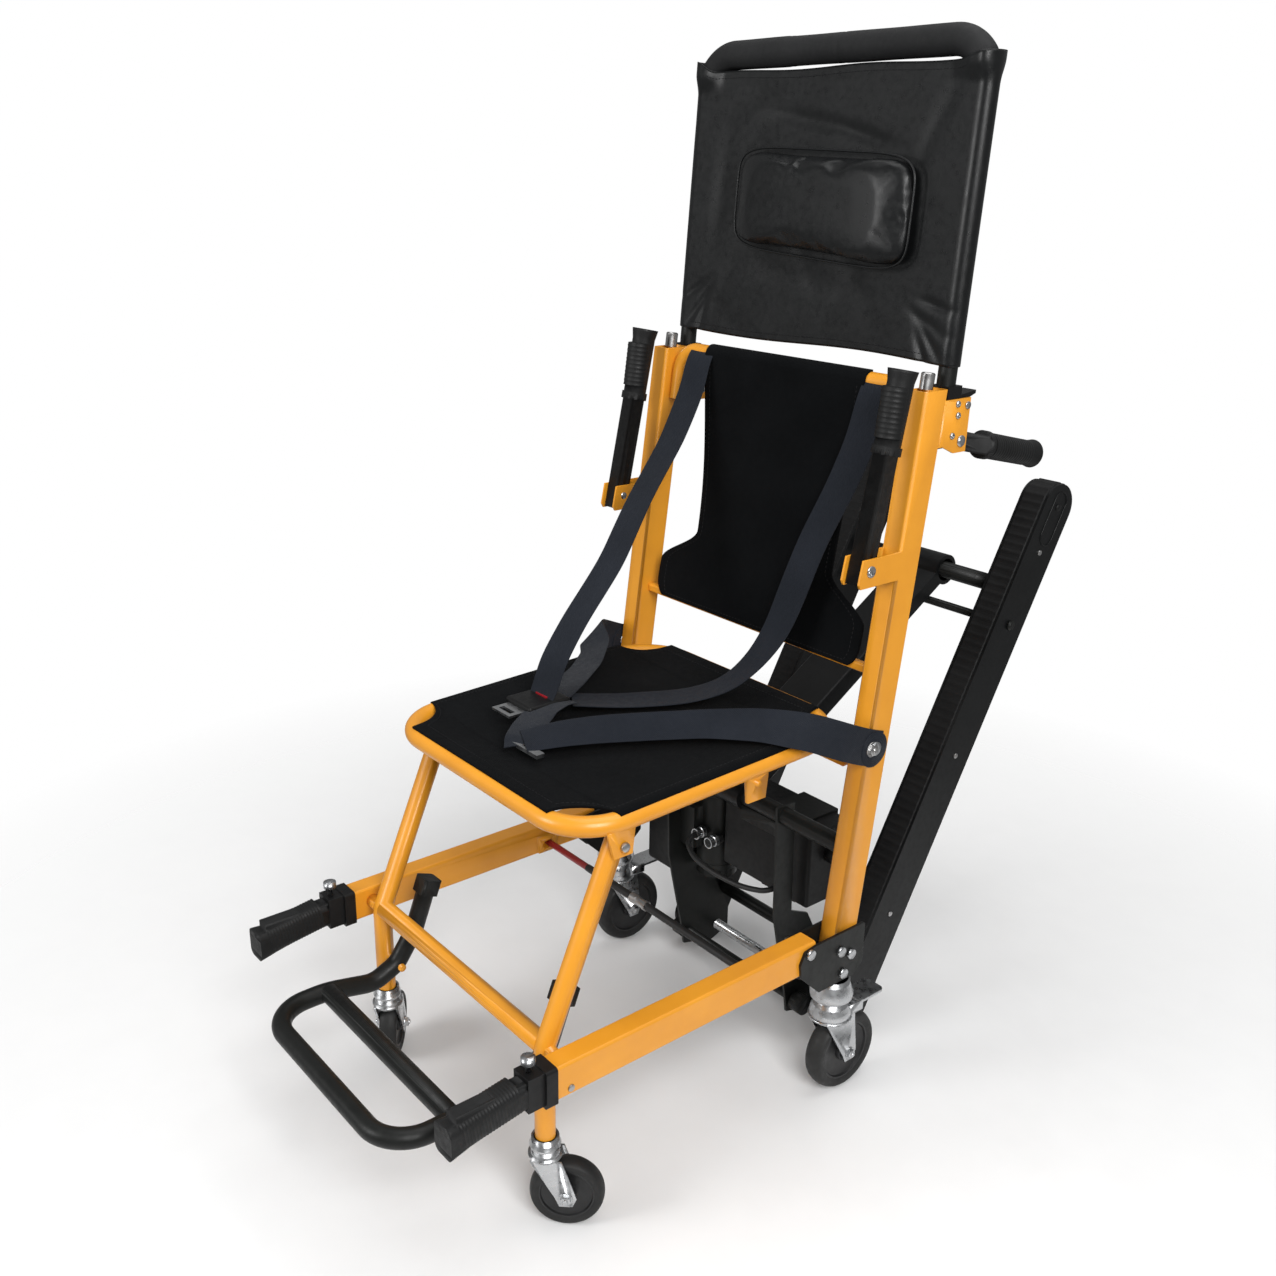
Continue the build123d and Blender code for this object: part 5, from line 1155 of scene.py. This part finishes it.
# ---------------------------------------------------------------- drive unit
@dataclass
class DriveTrim:
    """Bands and plugs of the drive unit."""

    motor: tuple[float, float] = (-80.0, 62.0)
    motor_r: float = 31.5
    rod: tuple[float, float] = (-160.0, 243.0)
    rod_r: float = 5.0
    rod_end: float = 219.0
    red_end: float = -118.0
    ferrule: float = -16.0

    def build(self) -> None:
        """Makes the motor's bands and the plugs' rings."""
        fins = Shell()
        x, y = self.motor
        r = self.motor_r
        rows = [(0.0, 196.0), (r + 1.5, 196.0), (r + 1.5, 204.0), (r + 0.4, 205.0), (r + 0.4, 318.0),
                (r + 1.5, 319.0), (r + 1.5, 327.0), (0.0, 327.0)]
        fins.turned(rows, (x, y, 0.0), (0.0, 0.0, 1.0), 48)
        fins.piece("motor_bands", BLACK_COAT, "back_frame", "black_steel", 30.0)
        plugs = Shell()
        ring = [(0, 0), (8.6, 0), (8.6, 3), (7.4, 4), (7.4, 9), (8.8, 10), (8.8, 16), (0, 16)]
        for place in ((-72.0, 8.0, 262.0), (-50.0, 14.0, 254.0)):
            plugs.turned(ring, place, (0.0, 1.0, 0.0), 28)
        plugs.piece("cable_plug_rings", ZINC, "back_frame", "zinc", 30.0)
        self.rod_sleeve()

    def rod_sleeve(self) -> None:
        """The release rod's dark sheath, past its red end, and the bright ferrule crimped on it."""
        r, (y, z) = self.rod_r, self.rod
        sheath = Shell()
        sheath.turned([(0.0, self.red_end), (r + 0.25, self.red_end), (r + 0.5, self.red_end + 1.5),
                       (r + 0.5, self.rod_end), (0.0, self.rod_end)], (0.0, y, z), (1.0, 0.0, 0.0), 24)
        sheath.piece("release_rod_sheath", CABLE, "release_rod", "black_plastic", 30.0)
        ferrule = Shell()
        start = self.ferrule
        ferrule.turned([(0.0, start), (r + 1.6, start), (r + 2.2, start + 1.0), (r + 2.2, start + 12.0),
                        (r + 1.0, start + 14.0), (r + 1.0, start + 26.0), (r + 2.0, start + 28.0),
                        (r + 2.0, start + 34.0), (0.0, start + 34.0)], (0.0, y, z), (1.0, 0.0, 0.0), 28)
        ferrule.piece("release_rod_ferrule", STEEL, "release_rod", "zinc", 30.0)


# ---------------------------------------------------------------- studio
@dataclass
class Studio:
    """Floor, lights and camera."""

    lens: float = 36.993
    azimuth: float = math.radians(50.465)
    elevation: float = math.radians(19.687)
    roll: float = math.radians(0.8736)
    eye: Point = (1227.06, -1179.67, 1208.65)
    shift: tuple[float, float] = (-0.000909, -0.00268)
    floor_z: float = 4.5
    floor_half: float = 9000.0
    ambient: float = 0.27
    fade_from: tuple[float, float] = (0.55, 1.5)

    def build(self) -> None:
        """Sets the pale floor, soft lights and the camera."""
        shell = Shell()
        ramp = np.linspace(-self.floor_half, self.floor_half, 9)
        grid = np.stack(np.broadcast_arrays(ramp[None], ramp[:, None], self.floor_z), axis=-1)
        floor = shell.grid(grid).piece("floor", FLOOR, "back_frame", "zinc", welded=False)
        floor.parent = None
        self.fade(floor.active_material)
        self.backdrop()
        bpy.context.scene.view_settings.view_transform = "Standard"
        self.light("key", (2.6, -1.2, 2.4), 1.6, 98.0)
        self.light("fill", (-1.1, -3.6, 1.9), 1.6, 66.0)
        self.light("top", (0.2, 0.4, 3.4), 2.6, 46.0)
        self.camera()

    def backdrop(self) -> None:
        """A world that is white behind the chair and dimmer where it lights the chair."""
        world = bpy.data.worlds.new("studio")
        world.use_nodes = True
        tree = world.node_tree
        back = tree.nodes["Background"]
        ray = tree.nodes.new("ShaderNodeLightPath")
        back.inputs["Color"].default_value = (1.0, 1.0, 1.0, 1.0)
        strength = Finish.spread(tree, ray.outputs["Is Camera Ray"], 0.0, 1.0, self.ambient, 1.0)
        tree.links.new(strength, back.inputs["Strength"])
        bpy.context.scene.world = world

    def fade(self, material: bpy.types.Material) -> None:
        """Lets the floor melt into the backdrop away from the chair."""
        tree = material.node_tree
        shader = tree.nodes["Principled BSDF"]
        place = tree.nodes.new("ShaderNodeTexCoord")
        reach = tree.nodes.new("ShaderNodeVectorMath")
        reach.operation = "LENGTH"
        tree.links.new(place.outputs["Object"], reach.inputs[0])
        alpha = Finish.spread(tree, reach.outputs["Value"], *self.fade_from, 1.0, 0.0)
        tree.links.new(alpha, shader.inputs["Alpha"])

    @staticmethod
    def light(name: str, place: Point, size: float, power: float) -> None:
        """An area light aimed at the chair's middle."""
        lamp = bpy.data.lights.new(name, "AREA")
        lamp.size = size
        lamp.energy = power
        holder = bpy.data.objects.new(name, lamp)
        bpy.context.scene.collection.objects.link(holder)
        aim = np.array((0.0, 0.0, 0.65)) - np.array(place)
        holder.matrix_world = Matrix.Translation(place) @ look(-unit(aim), np.array((0.0, 0.0, 1.0)))

    def camera(self) -> None:
        """The camera, turned by its azimuth, elevation and roll."""
        a, e, r = self.azimuth, self.elevation, self.roll
        back = np.array((math.sin(a) * math.cos(e), -math.cos(a) * math.cos(e), math.sin(e)))
        right = np.array((math.cos(a), math.sin(a), 0.0))
        up = np.cross(back, right)
        turned = right * math.cos(r) + up * math.sin(r)
        upright = -right * math.sin(r) + up * math.cos(r)
        lens = bpy.data.cameras.new("camera")
        lens.sensor_width = 36.0
        lens.lens = self.lens
        lens.shift_x, lens.shift_y = self.shift
        holder = bpy.data.objects.new("camera", lens)
        bpy.context.scene.collection.objects.link(holder)
        place = Matrix.Translation(DATUM.at(self.eye))
        holder.matrix_world = place @ axes(turned, upright, back)
        bpy.context.scene.camera = holder


def axes(right: Array, up: Array, back: Array) -> Matrix:
    """A turn whose columns are three directions."""
    turn = np.eye(4)
    turn[:3, 0], turn[:3, 1], turn[:3, 2] = right, up, back
    return Matrix(turn.tolist())


def look(back: Array, up: Array) -> Matrix:
    """A turn that looks away from back with up upwards."""
    right = unit(np.cross(up, back))
    return axes(right, np.cross(back, right), back)


def main() -> None:
    """Builds the chair's looks in order."""
    logging.basicConfig(level=logging.INFO, format="%(name)s: %(message)s")
    Metalwork().build()
    Fasteners().build()
    for name, side, heading in (("left", 1.0, 43.0), ("right", -1.0, -50.0)):
        Caster(name + "_front", (side * 190.0, -456.0), heading, 45.5, 24.0, 26.0, 16.8, 101.5, 127.7).build()
    for name, side in (("left", 1.0), ("right", -1.0)):
        Caster(name + "_rear", (side * 235.0, -15.0), 0.0, 58.0, 28.0, 25.0, 26.0, 128.5, 187.7).build()
    SeatCloth().build()
    BackCloth().build()
    Headrest().build()
    Harness().build()
    Grips().build()
    Tracks().build()
    DriveTrim().build()
    Studio().build()


if __name__ == "__main__":
    main()
